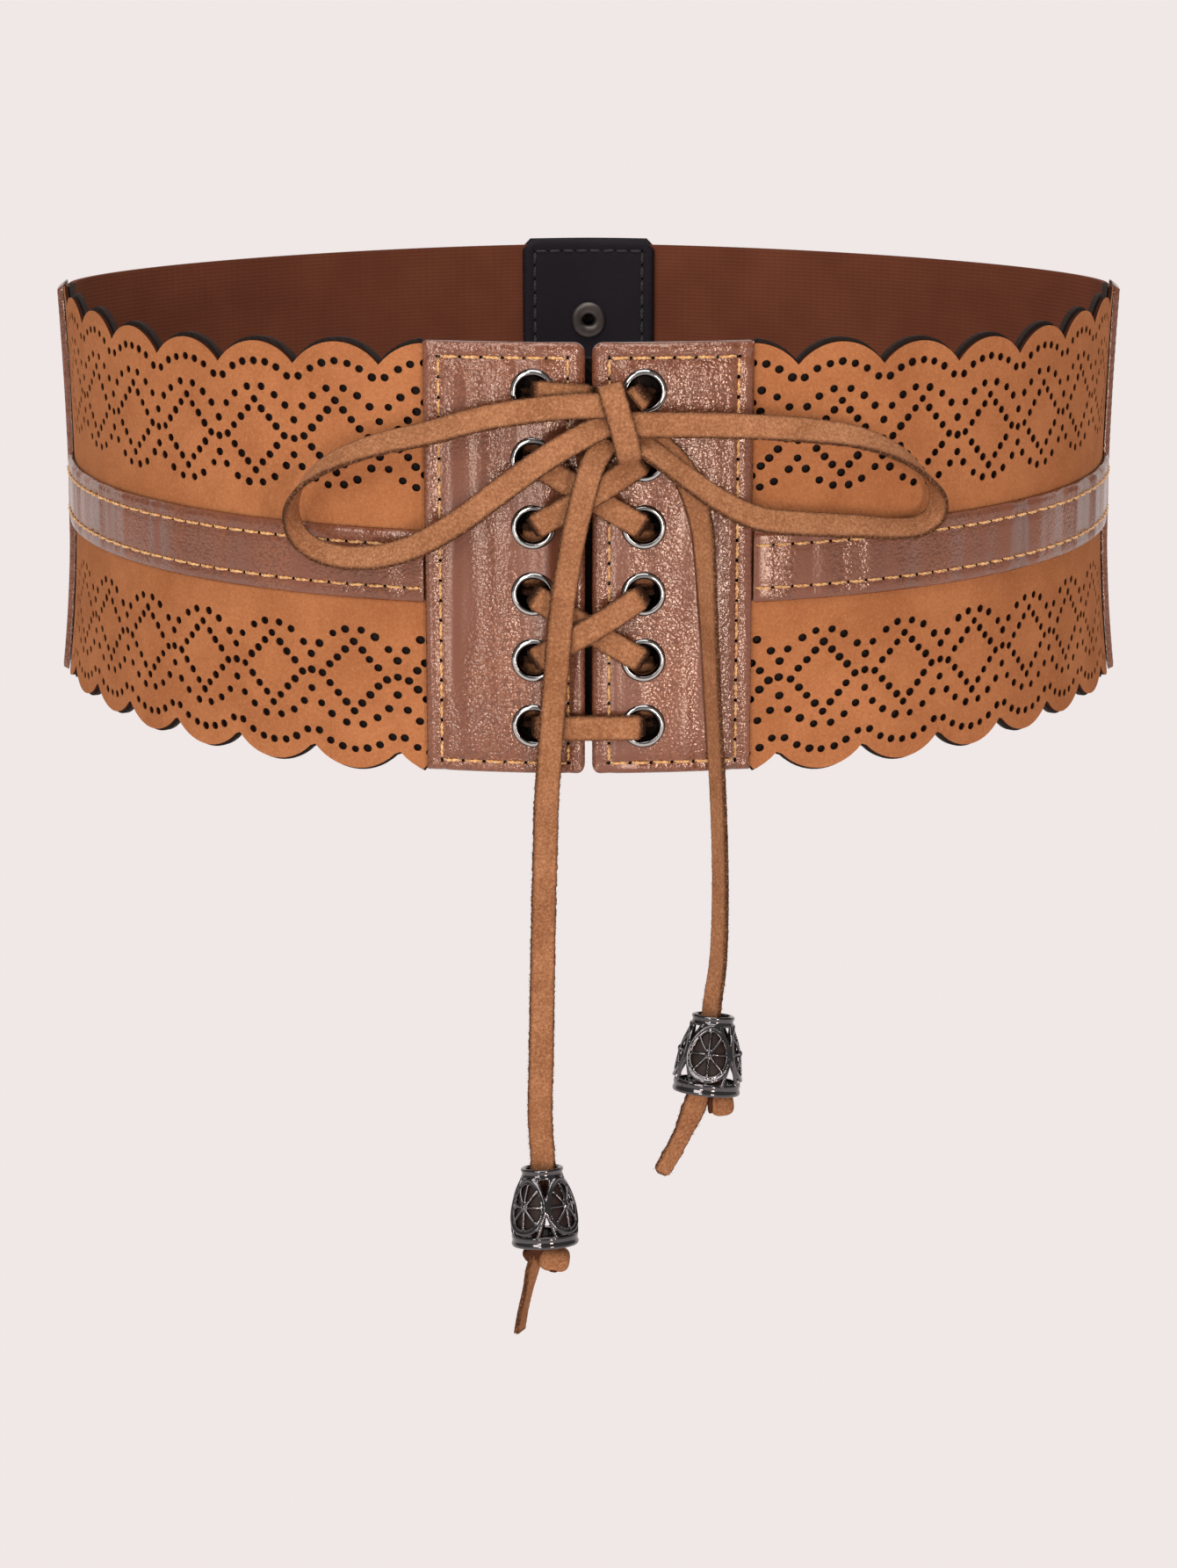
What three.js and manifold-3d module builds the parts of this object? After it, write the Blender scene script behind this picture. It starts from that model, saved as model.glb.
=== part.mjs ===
// Wide lace-up waist belt. Two scalloped suede panels on a black backing run from the leather front
// panels to the side trims, and elastic bands go on to a snap tab at the centre of the back. A flat
// suede lace runs through six rows of eyelets and ends in a bow, whose tails carry a pierced bead each.
// Units are millimetres. The origin is the centre of the waist opening at mid-height, +Z is up, the
// front faces -Y, and "left" and "right" are as seen by someone who faces the belt.
import * as THREE from "three";
import { mergeVertices } from "three/addons/utils/BufferGeometryUtils.js";
import Module from "manifold-3d";

const wasm = await Module();
wasm.setup();

// Plan of the waist ring: two half ovals that meet at the sides
const HALF_WIDTH = 141.4;
const FRONT_DEPTH = 139;
const BACK_DEPTH = 101;
const FRONT_POWER = 2.1; // 2 is an ellipse, less is more pointed
const BACK_POWER = 1.6;

// Heights, measured from the belt's middle
const BELT_TOP = 53.5;
const BELT_LOW = -52.5;
const ELASTIC_TOP = 52.5;
const PANEL_TOP = 54.2;
const PANEL_LOW = -51;
const PLACKET_TOP = 50;
const PLACKET_LOW = -42;
const STRIP_TOP = 8.2;
const STRIP_LOW = -9.5;

// Distances round the belt, measured from the middle of the front
const GAP_HALF = 0.85;
const PANEL_EDGE = 39.6;
const PLACKET_EDGE = 33;
const SUEDE_START = 30;
const SUEDE_END = 208;
const TRIM_START = 204;
const TRIM_END = 220;
const CLEARANCE = 0.3;

// Layers, as distances out from the face of the suede
const SUEDE = { inner: -1.2, outer: 0 };
const BACKING = { inner: -2.7, outer: -1.5 };
const PLACKET = { inner: -4.2, outer: -3 };
const PANEL = { inner: 0.3, outer: 2.1 };
const STRIP = { inner: 0.3, outer: 1.5 };
const TRIM = { inner: 0.3, outer: 1.9 };
const ELASTIC = { inner: -1.5, outer: 0 };
const TAB_INNER = { inner: -3.6, outer: -1.8 };
const TAB_OUTER = { inner: 0.3, outer: 2.1 };

// The wall leans out towards its edges at the sides of the belt: how far at the lower and at the upper
// edge, and the distances round the belt at which this begins, is full, begins to fade and is gone.
const FLARE = { low: 3.5, top: 1.2, begin: 150, full: 205, fade: 225, gone: 320 };

// The upper edge of a suede panel sags between the front panel and the side.
const SAG = { middle: 115, reach: 45, depth: 2.9 };

// Scalloped edges
const SCALLOP_PITCH = 23.3;
const SCALLOP_DEPTH = 5.5;
const SCALLOP_STEPS = 6;
const TOP_VALLEY = 51.2; // the first valley of the upper edge beside the front panel
const LOW_VALLEY = TOP_VALLEY - SCALLOP_PITCH / SCALLOP_STEPS;
const BACKING_MARGIN = 1; // the backing shows this much above the scallops

// Eyelets
const EYELET_ROWS = 6;
const EYELET_PITCH = 16.3;
const EYELET_TOP = 42.7;
const EYELET_ALONG = 13.1;
const EYELET_SIDES = 10;
const EYELET_HOLE = 4.6;

// Lace
const LACE_WIDTH = 6.2;
const LACE_THICK = 1.3;
const LACE_CHAMFER = 0.35;

// Beads
const BEAD_HEIGHT = 19.6;
// How far the beads tip, foot to the front, in degrees.
const BEAD_TIP = 11;
const BEAD_SIDES = 12;
const WHEELS = 4;
const SPOKES = 8;
const WHEEL_MIDDLE = 10.5;
const WHEEL_HALF_HEIGHT = 6.4;
const WHEEL_HALF_TURN = 41;

// Snap tab at the back
const TAB_HALF = 20.5;
const TAB_TOP = 54.2;
const TAB_LOW = -52.5;
const TAB_OVERLAP = 5;
const SNAP_HEIGHTS = [30, 0, -30];

const leather = new THREE.MeshStandardMaterial({ color: 0xa06e5a, roughness: 0.5 });
const suede = new THREE.MeshStandardMaterial({ color: 0xc07f50, roughness: 0.95 });
const laceSuede = new THREE.MeshStandardMaterial({ color: 0xa57150, roughness: 0.95 });
const backingCloth = new THREE.MeshStandardMaterial({ color: 0x1c1714, roughness: 0.9 });
const elasticWeave = new THREE.MeshStandardMaterial({ color: 0x693a26, roughness: 0.8 });
const blackLeather = new THREE.MeshStandardMaterial({ color: 0x2b2a2e, roughness: 0.6 });
const gunmetal = new THREE.MeshStandardMaterial({ color: 0x55555a, roughness: 0.25, metalness: 1 });

const belt = new THREE.Group();

function addPiece(name, geometry, material) {
  const mesh = new THREE.Mesh(geometry, material);
  mesh.name = name;
  belt.add(mesh);
  return mesh;
}

// Each quarter of the plan is an oval arc from the belt's centre line to its side.
function quarterPlan(depth, power) {
  const steps = 1500;
  return Array.from({ length: steps + 1 }, (_, i) => {
    const angle = (i / steps) * (Math.PI / 2);
    const x = HALF_WIDTH * Math.sin(angle) ** (2 / power);
    const y = depth * Math.cos(angle) ** (2 / power);
    return new THREE.Vector2(x, y);
  });
}

// The right half of the plan, front to back, with each point's distance round the belt.
const frontQuarter = quarterPlan(-FRONT_DEPTH, FRONT_POWER);
const backQuarter = quarterPlan(BACK_DEPTH, BACK_POWER).reverse();
const halfPlan = frontQuarter.concat(backQuarter.slice(1));
const halfDistances = [0];
for (let i = 1; i < halfPlan.length; i++) {
  halfDistances.push(halfDistances[i - 1] + halfPlan[i].distanceTo(halfPlan[i - 1]));
}
const HALF_ROUND = halfDistances.at(-1);

// A point of the plan at a distance round the belt. Past the back centre it goes on round the other side.
function planPoint(along) {
  let distance = Math.abs(along);
  let side = Math.sign(along) || 1;
  if (distance > HALF_ROUND) {
    distance = 2 * HALF_ROUND - distance;
    side = -side;
  }
  let low = 0;
  let high = halfDistances.length - 1;
  while (high - low > 1) {
    const middle = (low + high) >> 1;
    if (halfDistances[middle] > distance) high = middle;
    else low = middle;
  }
  const share = (distance - halfDistances[low]) / (halfDistances[high] - halfDistances[low]);
  const point = halfPlan[low].clone().lerp(halfPlan[high], share);
  return new THREE.Vector2(side * point.x, point.y);
}

// The direction straight out of the wall there.
function outward(along) {
  const reach = 0.8;
  const step = planPoint(along + reach).sub(planPoint(along - reach));
  return new THREE.Vector3(step.y, -step.x, 0).normalize();
}

function smoothStep(value, from, to) {
  const share = THREE.MathUtils.clamp((value - from) / (to - from), 0, 1);
  return share * share * (3 - 2 * share);
}

// How far the wall leans out at a place.
function flare(along, up) {
  const distance = Math.abs(along);
  const share = smoothStep(distance, FLARE.begin, FLARE.full) * (1 - smoothStep(distance, FLARE.fade, FLARE.gone));
  return share * (up < 0 ? FLARE.low : FLARE.top) * (up / BELT_LOW) ** 2;
}

// Wall coordinates to a point: along the belt, up, and out from the face of the suede.
function onWall(along, up, out) {
  const point = planPoint(along);
  const reach = out + flare(along, up);
  return new THREE.Vector3(point.x, point.y, up).addScaledVector(outward(along), reach);
}

function geometryOf(points, triangles) {
  const geometry = new THREE.BufferGeometry();
  const [a, b, c] = [0, 1, 2].map(() => new THREE.Vector3());
  let volume = 0;
  for (const triangle of triangles) {
    a.copy(points[triangle[0]]);
    b.copy(points[triangle[1]]);
    c.copy(points[triangle[2]]);
    volume += a.dot(b.cross(c));
  }
  const turned = volume < 0 ? triangles.map(([i, j, k]) => [i, k, j]) : triangles;
  geometry.setAttribute("position", new THREE.Float32BufferAttribute(points.flatMap((p) => p.toArray()), 3));
  geometry.setIndex(turned.flat());
  return geometry;
}

function quad(a, b, c, d) {
  return [[a, b, c], [a, c, d]];
}

// A wall of the belt: at each distance round it a column of heights, with an inner and an outer face.
// layer(along, up) gives the two faces, and every column has the same number of heights.
function wallSolid(distances, heightsAt, layerAt) {
  const columns = distances.map((along) => heightsAt(along).map((up) => ({ along, up, ...layerAt(along, up) })));
  const rows = columns[0].length;
  const outer = columns.flat().map((p) => onWall(p.along, p.up, p.outer));
  const inner = columns.flat().map((p) => onWall(p.along, p.up, p.inner));
  const offset = outer.length;
  const triangles = [];
  for (let i = 0; i + 1 < columns.length; i++) {
    for (let j = 0; j + 1 < rows; j++) {
      const [a, b, c, d] = [i * rows + j, (i + 1) * rows + j, (i + 1) * rows + j + 1, i * rows + j + 1];
      triangles.push(...quad(a, b, c, d), ...quad(offset + a, offset + d, offset + c, offset + b));
    }
    for (const j of [0, rows - 1]) {
      const [a, b] = [i * rows + j, (i + 1) * rows + j];
      triangles.push(...(j ? quad(a, b, offset + b, offset + a) : quad(a, offset + a, offset + b, b)));
    }
  }
  for (const i of [0, columns.length - 1]) {
    for (let j = 0; j + 1 < rows; j++) {
      const [a, b] = [i * rows + j, i * rows + j + 1];
      triangles.push(...(i ? quad(a, offset + a, offset + b, b) : quad(a, b, offset + b, offset + a)));
    }
  }
  return geometryOf(outer.concat(inner), triangles);
}

// Rings of the same number of points, joined in order and closed at both ends. The rings are convex.
function ringSolid(rings) {
  const size = rings[0].length;
  const triangles = [];
  for (let i = 0; i + 1 < rings.length; i++) {
    for (let j = 0; j < size; j++) {
      const next = (j + 1) % size;
      triangles.push(...quad(i * size + j, i * size + next, (i + 1) * size + next, (i + 1) * size + j));
    }
  }
  const last = (rings.length - 1) * size;
  for (let j = 1; j + 1 < size; j++) {
    triangles.push([0, j + 1, j], [last, last + j, last + j + 1]);
  }
  return geometryOf(rings.flat(), triangles);
}

function toSolid(geometry) {
  const plain = geometry.clone();
  plain.deleteAttribute("normal");
  plain.deleteAttribute("uv");
  const merged = mergeVertices(plain, 1e-4);
  const vertProperties = new Float32Array(merged.attributes.position.array);
  const triVerts = new Uint32Array(merged.index.array);
  return new wasm.Manifold(new wasm.Mesh({ numProp: 3, vertProperties, triVerts }));
}

function toGeometry(solid) {
  const mesh = solid.getMesh();
  const geometry = new THREE.BufferGeometry();
  geometry.setAttribute("position", new THREE.BufferAttribute(new Float32Array(mesh.vertProperties), 3));
  geometry.setIndex(new THREE.BufferAttribute(new Uint32Array(mesh.triVerts), 1));
  return geometry;
}

// Evenly spaced numbers from one end to the other, both included.
function spread(from, to, steps) {
  return Array.from({ length: steps + 1 }, (_, i) => from + ((to - from) * i) / steps);
}

// How far a scalloped edge drops below its tips at a distance round the belt. The tips are round arcs.
function scallopDrop(along, valley) {
  const half = SCALLOP_PITCH / 2;
  const radius = (half * half + SCALLOP_DEPTH * SCALLOP_DEPTH) / (2 * SCALLOP_DEPTH);
  const turns = (along - valley) / SCALLOP_PITCH;
  const fromTip = (turns - Math.floor(turns) - 0.5) * SCALLOP_PITCH;
  return radius - Math.sqrt(radius * radius - fromTip * fromTip);
}

// Top and bottom of a scalloped layer. Under the front panel it is cut back so that nothing shows.
function scallopEdges(along, margin) {
  const distance = Math.abs(along);
  const tuck = 1;
  const covered = distance < PANEL_EDGE - 0.01;
  const low = BELT_LOW - margin + scallopDrop(distance, LOW_VALLEY);
  const sag = SAG.depth * Math.exp(-(((distance - SAG.middle) / SAG.reach) ** 2));
  const top = BELT_TOP + margin - sag - scallopDrop(distance, TOP_VALLEY);
  return [covered ? Math.max(low, PANEL_LOW + tuck) : low, covered ? Math.min(top, PANEL_TOP - tuck) : top];
}

// Heights of a wall piece: its two edges, and the edges of the middle strip, where the flare is nil.
function wallHeights([low, top]) {
  return [low, STRIP_LOW, STRIP_TOP, top];
}

function scallopColumns(side) {
  const step = SCALLOP_PITCH / SCALLOP_STEPS;
  const columns = [SUEDE_START, PANEL_EDGE - 0.02, PANEL_EDGE];
  const first = TOP_VALLEY - Math.floor((TOP_VALLEY - PANEL_EDGE) / step) * step;
  for (let along = first; along < SUEDE_END - 1; along += step) columns.push(along);
  columns.push(SUEDE_END);
  return columns.map((along) => side * along);
}

function addSuede(side, word) {
  const columns = scallopColumns(side);
  const panel = wallSolid(columns, (a) => wallHeights(scallopEdges(a, 0)), () => SUEDE);
  addPiece("suede_panel_" + word, panel, suede);
  const backing = wallSolid(columns, (a) => wallHeights(scallopEdges(a, BACKING_MARGIN)), () => BACKING);
  addPiece("suede_backing_" + word, backing, backingCloth);
}

function addMiddleStrip(side, word) {
  const columns = spread(side * (PANEL_EDGE + CLEARANCE), side * (TRIM_START - CLEARANCE), 20);
  addPiece("middle_strip_" + word, wallSolid(columns, () => [STRIP_LOW, STRIP_TOP], () => STRIP), leather);
}

function eyeletHeight(row) {
  return EYELET_TOP - row * EYELET_PITCH;
}

// Turns a lathed piece so that its axis points straight out of the wall.
function standOnWall(geometry, along, up, out) {
  const turn = new THREE.Quaternion().setFromUnitVectors(new THREE.Vector3(0, 1, 0), outward(along));
  const place = onWall(along, up, out);
  return geometry.clone().applyQuaternion(turn).translate(place.x, place.y, place.z);
}

function lathe(profile, sides) {
  const points = profile.map(([radius, height]) => new THREE.Vector2(radius, height));
  return new THREE.LatheGeometry(points.concat(points[0].clone()), sides);
}

// Rounded front panel with six eyelet holes. Its corners at the gap are rounder than the outer ones.
function addFrontPanel(side, word) {
  const cornerRadius = 2.5;
  const cornerSteps = [0, 0.15, 0.5, 1];
  const nearGap = cornerSteps.map((share) => GAP_HALF + cornerRadius * share);
  const columns = nearGap.concat(spread(GAP_HALF + cornerRadius, PANEL_EDGE - 1, 4).slice(1), PANEL_EDGE);
  const heightsAt = (along) => {
    const distance = Math.abs(along);
    const intoCorner = Math.max(0, GAP_HALF + cornerRadius - distance);
    const cut = cornerRadius - Math.sqrt(Math.max(0, cornerRadius ** 2 - intoCorner ** 2));
    const outerCut = Math.max(0, distance - (PANEL_EDGE - 1));
    return [PANEL_LOW + cut + outerCut, PANEL_TOP - cut - outerCut];
  };
  const plain = wallSolid(columns.map((a) => side * a), heightsAt, () => PANEL);
  let panel = toSolid(plain);
  const drill = new THREE.CylinderGeometry(EYELET_HOLE, EYELET_HOLE, 12, EYELET_SIDES);
  for (let row = 0; row < EYELET_ROWS; row++) {
    panel = panel.subtract(toSolid(standOnWall(drill, side * EYELET_ALONG, eyeletHeight(row), 0)));
  }
  addPiece("front_panel_" + word, toGeometry(panel), leather);
}

// Rolled metal eyelet: a barrel through the panel with a flange on each face.
function addEyelets(side, word) {
  const profile = [
    [3.6, -0.6],
    [5.2, -0.6],
    [5.2, 0],
    [4.2, 0],
    [4.2, 2.4],
    [5.5, 2.4],
    [4.6, 3.3],
    [3.6, 2.4],
  ];
  const eyelet = lathe(profile, EYELET_SIDES);
  for (let row = 0; row < EYELET_ROWS; row++) {
    const placed = standOnWall(eyelet, side * EYELET_ALONG, eyeletHeight(row), 0);
    addPiece("eyelet_" + word + "_" + (row + 1), placed, gunmetal);
  }
}

// The vertical leather strip over the seam of suede and elastic
function addSideTrim(side, word) {
  const columns = spread(side * TRIM_START, side * TRIM_END, 4);
  const trim = wallSolid(columns, () => wallHeights([BELT_LOW, BELT_TOP]), () => TRIM);
  addPiece("side_trim_" + word, trim, leather);
}

function addElastic(side, word) {
  const end = HALF_ROUND - TAB_HALF + TAB_OVERLAP;
  const columns = spread(side * (SUEDE_END + CLEARANCE + 0.1), side * end, 20);
  const band = wallSolid(columns, () => wallHeights([BELT_LOW + 1, ELASTIC_TOP]), () => ELASTIC);
  addPiece("elastic_" + word, band, elasticWeave);
}

// The two ends of the elastic meet between an inner and an outer leather tab with rounded corners.
function addSnapTabs() {
  const corner = 4;
  const shares = [0, 0.3, 1];
  const from = HALF_ROUND - TAB_HALF;
  const to = HALF_ROUND + TAB_HALF;
  const near = shares.map((share) => from + corner * share);
  const far = shares.map((share) => to - corner * share).reverse();
  const columns = near.concat(spread(from + corner, to - corner, 6).slice(1, -1), far);
  const heightsAt = (along) => {
    const intoCorner = Math.max(0, from + corner - along, along - (to - corner));
    const cut = corner - Math.sqrt(Math.max(0, corner ** 2 - intoCorner ** 2));
    return [TAB_LOW + cut, TAB_TOP - cut];
  };
  const tabs = [
    { name: "snap_tab_inner", layer: TAB_INNER },
    { name: "snap_tab_outer", layer: TAB_OUTER },
  ];
  const drill = new THREE.CylinderGeometry(2.2, 2.2, 20, 10);
  for (const { name, layer } of tabs) {
    let tab = toSolid(wallSolid(columns, heightsAt, () => layer));
    for (const up of SNAP_HEIGHTS) tab = tab.subtract(toSolid(standOnWall(drill, HALF_ROUND, up, 0)));
    addPiece(name, toGeometry(tab), blackLeather);
  }
}

// A closed snap: a round cap outside, a shaft through both tabs, and a ring with a socket inside.
function addSnaps() {
  const profile = [
    [0, 4.2],
    [4, 3.9],
    [5.4, 2.4],
    [1.8, 2.4],
    [1.8, -4.1],
    [5.2, -4.1],
    [4.2, -5.2],
    [2.2, -5.2],
    [0, -4.4],
  ];
  const snap = lathe(profile.reverse(), 12);
  SNAP_HEIGHTS.forEach((up, i) => addPiece("snap_" + (i + 1), standOnWall(snap, HALF_ROUND, up, 0), gunmetal));
}

// The dark strip behind the lacing gap
function addPlacket() {
  const columns = spread(-PLACKET_EDGE, PLACKET_EDGE, 10);
  addPiece("placket", wallSolid(columns, () => [PLACKET_LOW, PLACKET_TOP], () => PLACKET), backingCloth);
}

// The lace's section: a flat strip with its long edges taken off.
const laceSection = [];
for (const [across, through] of [[1, 1], [-1, 1], [-1, -1], [1, -1]]) {
  const corner = [
    [across * (LACE_WIDTH / 2 - LACE_CHAMFER), through * (LACE_THICK / 2)],
    [across * (LACE_WIDTH / 2), through * (LACE_THICK / 2 - LACE_CHAMFER)],
  ];
  laceSection.push(...(across * through > 0 ? corner.reverse() : corner));
}

// One length of lace. Each row gives a place on its middle line, and how far its right-hand edge is
// turned out from the wall, in degrees. A strand that dips into a hole keeps its width across its run.
function laceSolid(rows, run) {
  const stations = rows.map((row) => ({ ...row, point: onWall(row.along, row.up, row.out) }));
  const rings = stations.map((station, i) => {
    const before = stations[Math.max(0, i - 1)].point;
    const after = stations[Math.min(stations.length - 1, i + 1)].point;
    const forward = after.clone().sub(before).normalize();
    const normal = outward(station.along);
    const runWay = run ? onWall(station.along + run.x, station.up + run.y, 0) : null;
    const heading = run ? runWay.sub(onWall(station.along, station.up, 0)).normalize() : forward;
    const flat = normal.clone().cross(heading).normalize();
    const lifted = forward.clone().cross(flat).normalize();
    const turn = THREE.MathUtils.degToRad(station.turn);
    const across = flat.clone().multiplyScalar(Math.cos(turn)).addScaledVector(lifted, Math.sin(turn));
    const through = forward.clone().cross(across).normalize();
    return laceSection.map(([wide, thick]) =>
      station.point.clone().addScaledVector(across, wide).addScaledVector(through, thick),
    );
  });
  return ringSolid(rings);
}

// How the lace comes up out of an eyelet, and how it leaves it behind the panel
const FRONT_DIP = [
  { run: 0, out: 1.5 },
  { run: 0.2, out: 2.9 },
  { run: 1.3, out: 4.3 },
  { run: 3.6, out: 4.7 },
];
const BACK_DIP = [
  { run: 0, out: 1.1 },
  { run: 0.3, out: -0.7 },
  { run: 2, out: -2 },
];

// Places along a straight run from one point to another, as rows of lace.
function runRows(from, to, steps) {
  const length = Math.hypot(to.along - from.along, to.up - from.up);
  const way = { x: (to.along - from.along) / length, y: (to.up - from.up) / length };
  const rows = steps.map(({ run, out }) => {
    const distance = run < 0 ? length + run : run;
    return { along: from.along + way.x * distance, up: from.up + way.y * distance, out, turn: 0 };
  });
  return { rows, way };
}

// A strand from one eyelet to another. Its middle rises by lift where it passes over another strand.
function eyeletStrand(name, from, to, dip, lift) {
  const half = Math.hypot(to.along - from.along, to.up - from.up) / 2;
  const crest = dip.at(-1).out + lift;
  const overEdge = 6;
  const middle = lift
    ? [{ run: half - overEdge, out: crest }, { run: half + overEdge, out: crest }]
    : [{ run: half, out: crest }];
  const back = dip.map(({ run, out }) => ({ run: -Math.max(run, 1e-6), out })).reverse();
  const { rows, way } = runRows(from, to, [...dip, ...middle, ...back]);
  addPiece(name, laceSolid(rows, way), laceSuede);
}

function eyeletPlace(side, row) {
  return { along: side * EYELET_ALONG, up: eyeletHeight(row - 1) };
}

// Eyelet rows count from 1 at the top. The lace starts as a bar through row 6 and crosses in front
// between rows 5 and 4 and between rows 3 and 2. Between the other rows it runs behind the panels.
function addLacing() {
  const passOver = 1.7;
  eyeletStrand("lace_front_bar", eyeletPlace(-1, 6), eyeletPlace(1, 6), FRONT_DIP, 0);
  const crossings = [
    { name: "lace_cross_low", upper: 4, lower: 5 },
    { name: "lace_cross_high", upper: 2, lower: 3 },
  ];
  for (const { name, upper, lower } of crossings) {
    eyeletStrand(name + "_over", eyeletPlace(1, upper), eyeletPlace(-1, lower), FRONT_DIP, passOver);
    eyeletStrand(name + "_under", eyeletPlace(-1, upper), eyeletPlace(1, lower), FRONT_DIP, 0);
  }
  for (const [side, word] of [[-1, "left"], [1, "right"]]) {
    [6, 4, 2].forEach((row, i) => {
      const name = "lace_behind_" + word + "_" + (i + 1);
      eyeletStrand(name, eyeletPlace(side, row), eyeletPlace(side, row - 1), BACK_DIP, 0);
    });
  }
  const meeting = { left: { along: 3.2, up: 41.4 }, right: { along: 9.2, up: 39.6 } };
  for (const [side, word] of [[-1, "left"], [1, "right"]]) {
    const { rows, way } = runRows(eyeletPlace(side, 1), meeting[word], [...FRONT_DIP, { run: -1e-6, out: 4.5 }]);
    addPiece("lace_to_knot_" + word, laceSolid(rows, way), laceSuede);
  }
}

// The wrap of the bow: a band over the crossing strands. wide and deep are its full section.
const KNOT_ROWS = [
  { along: 5.1, up: 44.2, out: 7.0, wide: 5.4, deep: 2 },
  { along: 5.7, up: 42.4, out: 7.6, wide: 6.2, deep: 3.8 },
  { along: 7.1, up: 37.6, out: 7.8, wide: 6.4, deep: 4.6 },
  { along: 8.2, up: 32.8, out: 7.8, wide: 6.4, deep: 4.6 },
  { along: 9.0, up: 29.0, out: 7.5, wide: 6.2, deep: 3.8 },
  { along: 9.3, up: 27.6, out: 7.0, wide: 5.6, deep: 2.4 },
];

function addKnot() {
  const corner = 0.7;
  const rings = KNOT_ROWS.map(({ along, up, out, wide, deep }) => {
    const [w, d] = [wide / 2, deep / 2];
    const corners = [[w, d * corner], [w * corner, d], [-w * corner, d], [-w, d * corner]];
    const section = corners.concat(corners.map(([x, y]) => [-x, -y]));
    return section.map(([x, y]) => onWall(along + x, up, out + y));
  });
  addPiece("lace_knot", ringSolid(rings), laceSuede);
}

const LOOP_LEFT_ROWS = [
  { along: 2.4, up: 40.2, out: 8.2, turn: 8 },
  { along: -6.0, up: 39.8, out: 7.8, turn: 14 },
  { along: -15.0, up: 38.6, out: 7.6, turn: 18 },
  { along: -23.7, up: 36.9, out: 7.5, turn: 22 },
  { along: -37.4, up: 32.7, out: 7.3, turn: 30 },
  { along: -47.0, up: 30.2, out: 7.1, turn: 36 },
  { along: -56.0, up: 26.9, out: 6.9, turn: 44 },
  { along: -63.5, up: 23.0, out: 6.8, turn: 56 },
  { along: -69.0, up: 18.2, out: 6.7, turn: 72 },
  { along: -71.6, up: 12.2, out: 6.7, turn: 90 },
  { along: -70.4, up: 6.8, out: 6.7, turn: 108 },
  { along: -66.0, up: 3.2, out: 6.7, turn: 124 },
  { along: -59.0, up: 1.6, out: 6.6, turn: 138 },
  { along: -50.0, up: 2.2, out: 6.6, turn: 148 },
  { along: -41.3, up: 4.9, out: 6.6, turn: 156 },
  { along: -31.0, up: 11.0, out: 6.8, turn: 163 },
  { along: -20.5, up: 19.2, out: 7.0, turn: 168 },
  { along: -8.0, up: 28.8, out: 7.4, turn: 174 },
  { along: 3.2, up: 35.2, out: 6.8, turn: 176 },
];

const LOOP_RIGHT_ROWS = [
  { along: 11.8, up: 35.6, out: 8.0, turn: 170 },
  { along: 26.2, up: 35.2, out: 7.6, turn: 164 },
  { along: 40.7, up: 34.2, out: 7.4, turn: 158 },
  { along: 55.9, up: 32.2, out: 7.1, turn: 149 },
  { along: 63.3, up: 30.6, out: 7.0, turn: 141 },
  { along: 70.2, up: 28.1, out: 6.9, turn: 132 },
  { along: 77.0, up: 24.4, out: 6.8, turn: 121 },
  { along: 82.6, up: 19.6, out: 6.8, turn: 108 },
  { along: 86.2, up: 14.4, out: 6.8, turn: 92 },
  { along: 85.6, up: 9.8, out: 6.8, turn: 74 },
  { along: 81.2, up: 7.4, out: 6.8, turn: 58 },
  { along: 73.5, up: 7.4, out: 6.8, turn: 46 },
  { along: 65.4, up: 8.6, out: 6.8, turn: 38 },
  { along: 51.8, up: 10.2, out: 6.9, turn: 30 },
  { along: 39.5, up: 12.2, out: 7.3, turn: 28 },
  { along: 31.0, up: 16.4, out: 8.0, turn: 32 },
  { along: 22.6, up: 22.6, out: 8.4, turn: 38 },
  { along: 14.6, up: 29.0, out: 7.6, turn: 40 },
];

// A bead's top and bottom, as places on its axis
const BEADS = {
  left: { along: -11.2, up: -151.8, out: 6.8, lean: -2.5 },
  right: { along: 29.8, up: -112.5, out: 6.4, lean: 5.5 },
};

function beadPlace(word, drop) {
  const bead = BEADS[word];
  const lean = THREE.MathUtils.degToRad(bead.lean);
  const tip = THREE.MathUtils.degToRad(BEAD_TIP);
  return {
    along: bead.along - Math.sin(lean) * drop,
    up: bead.up - Math.cos(lean) * Math.cos(tip) * drop,
    out: bead.out + Math.sin(tip) * (drop - BEAD_HEIGHT / 2),
  };
}

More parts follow.
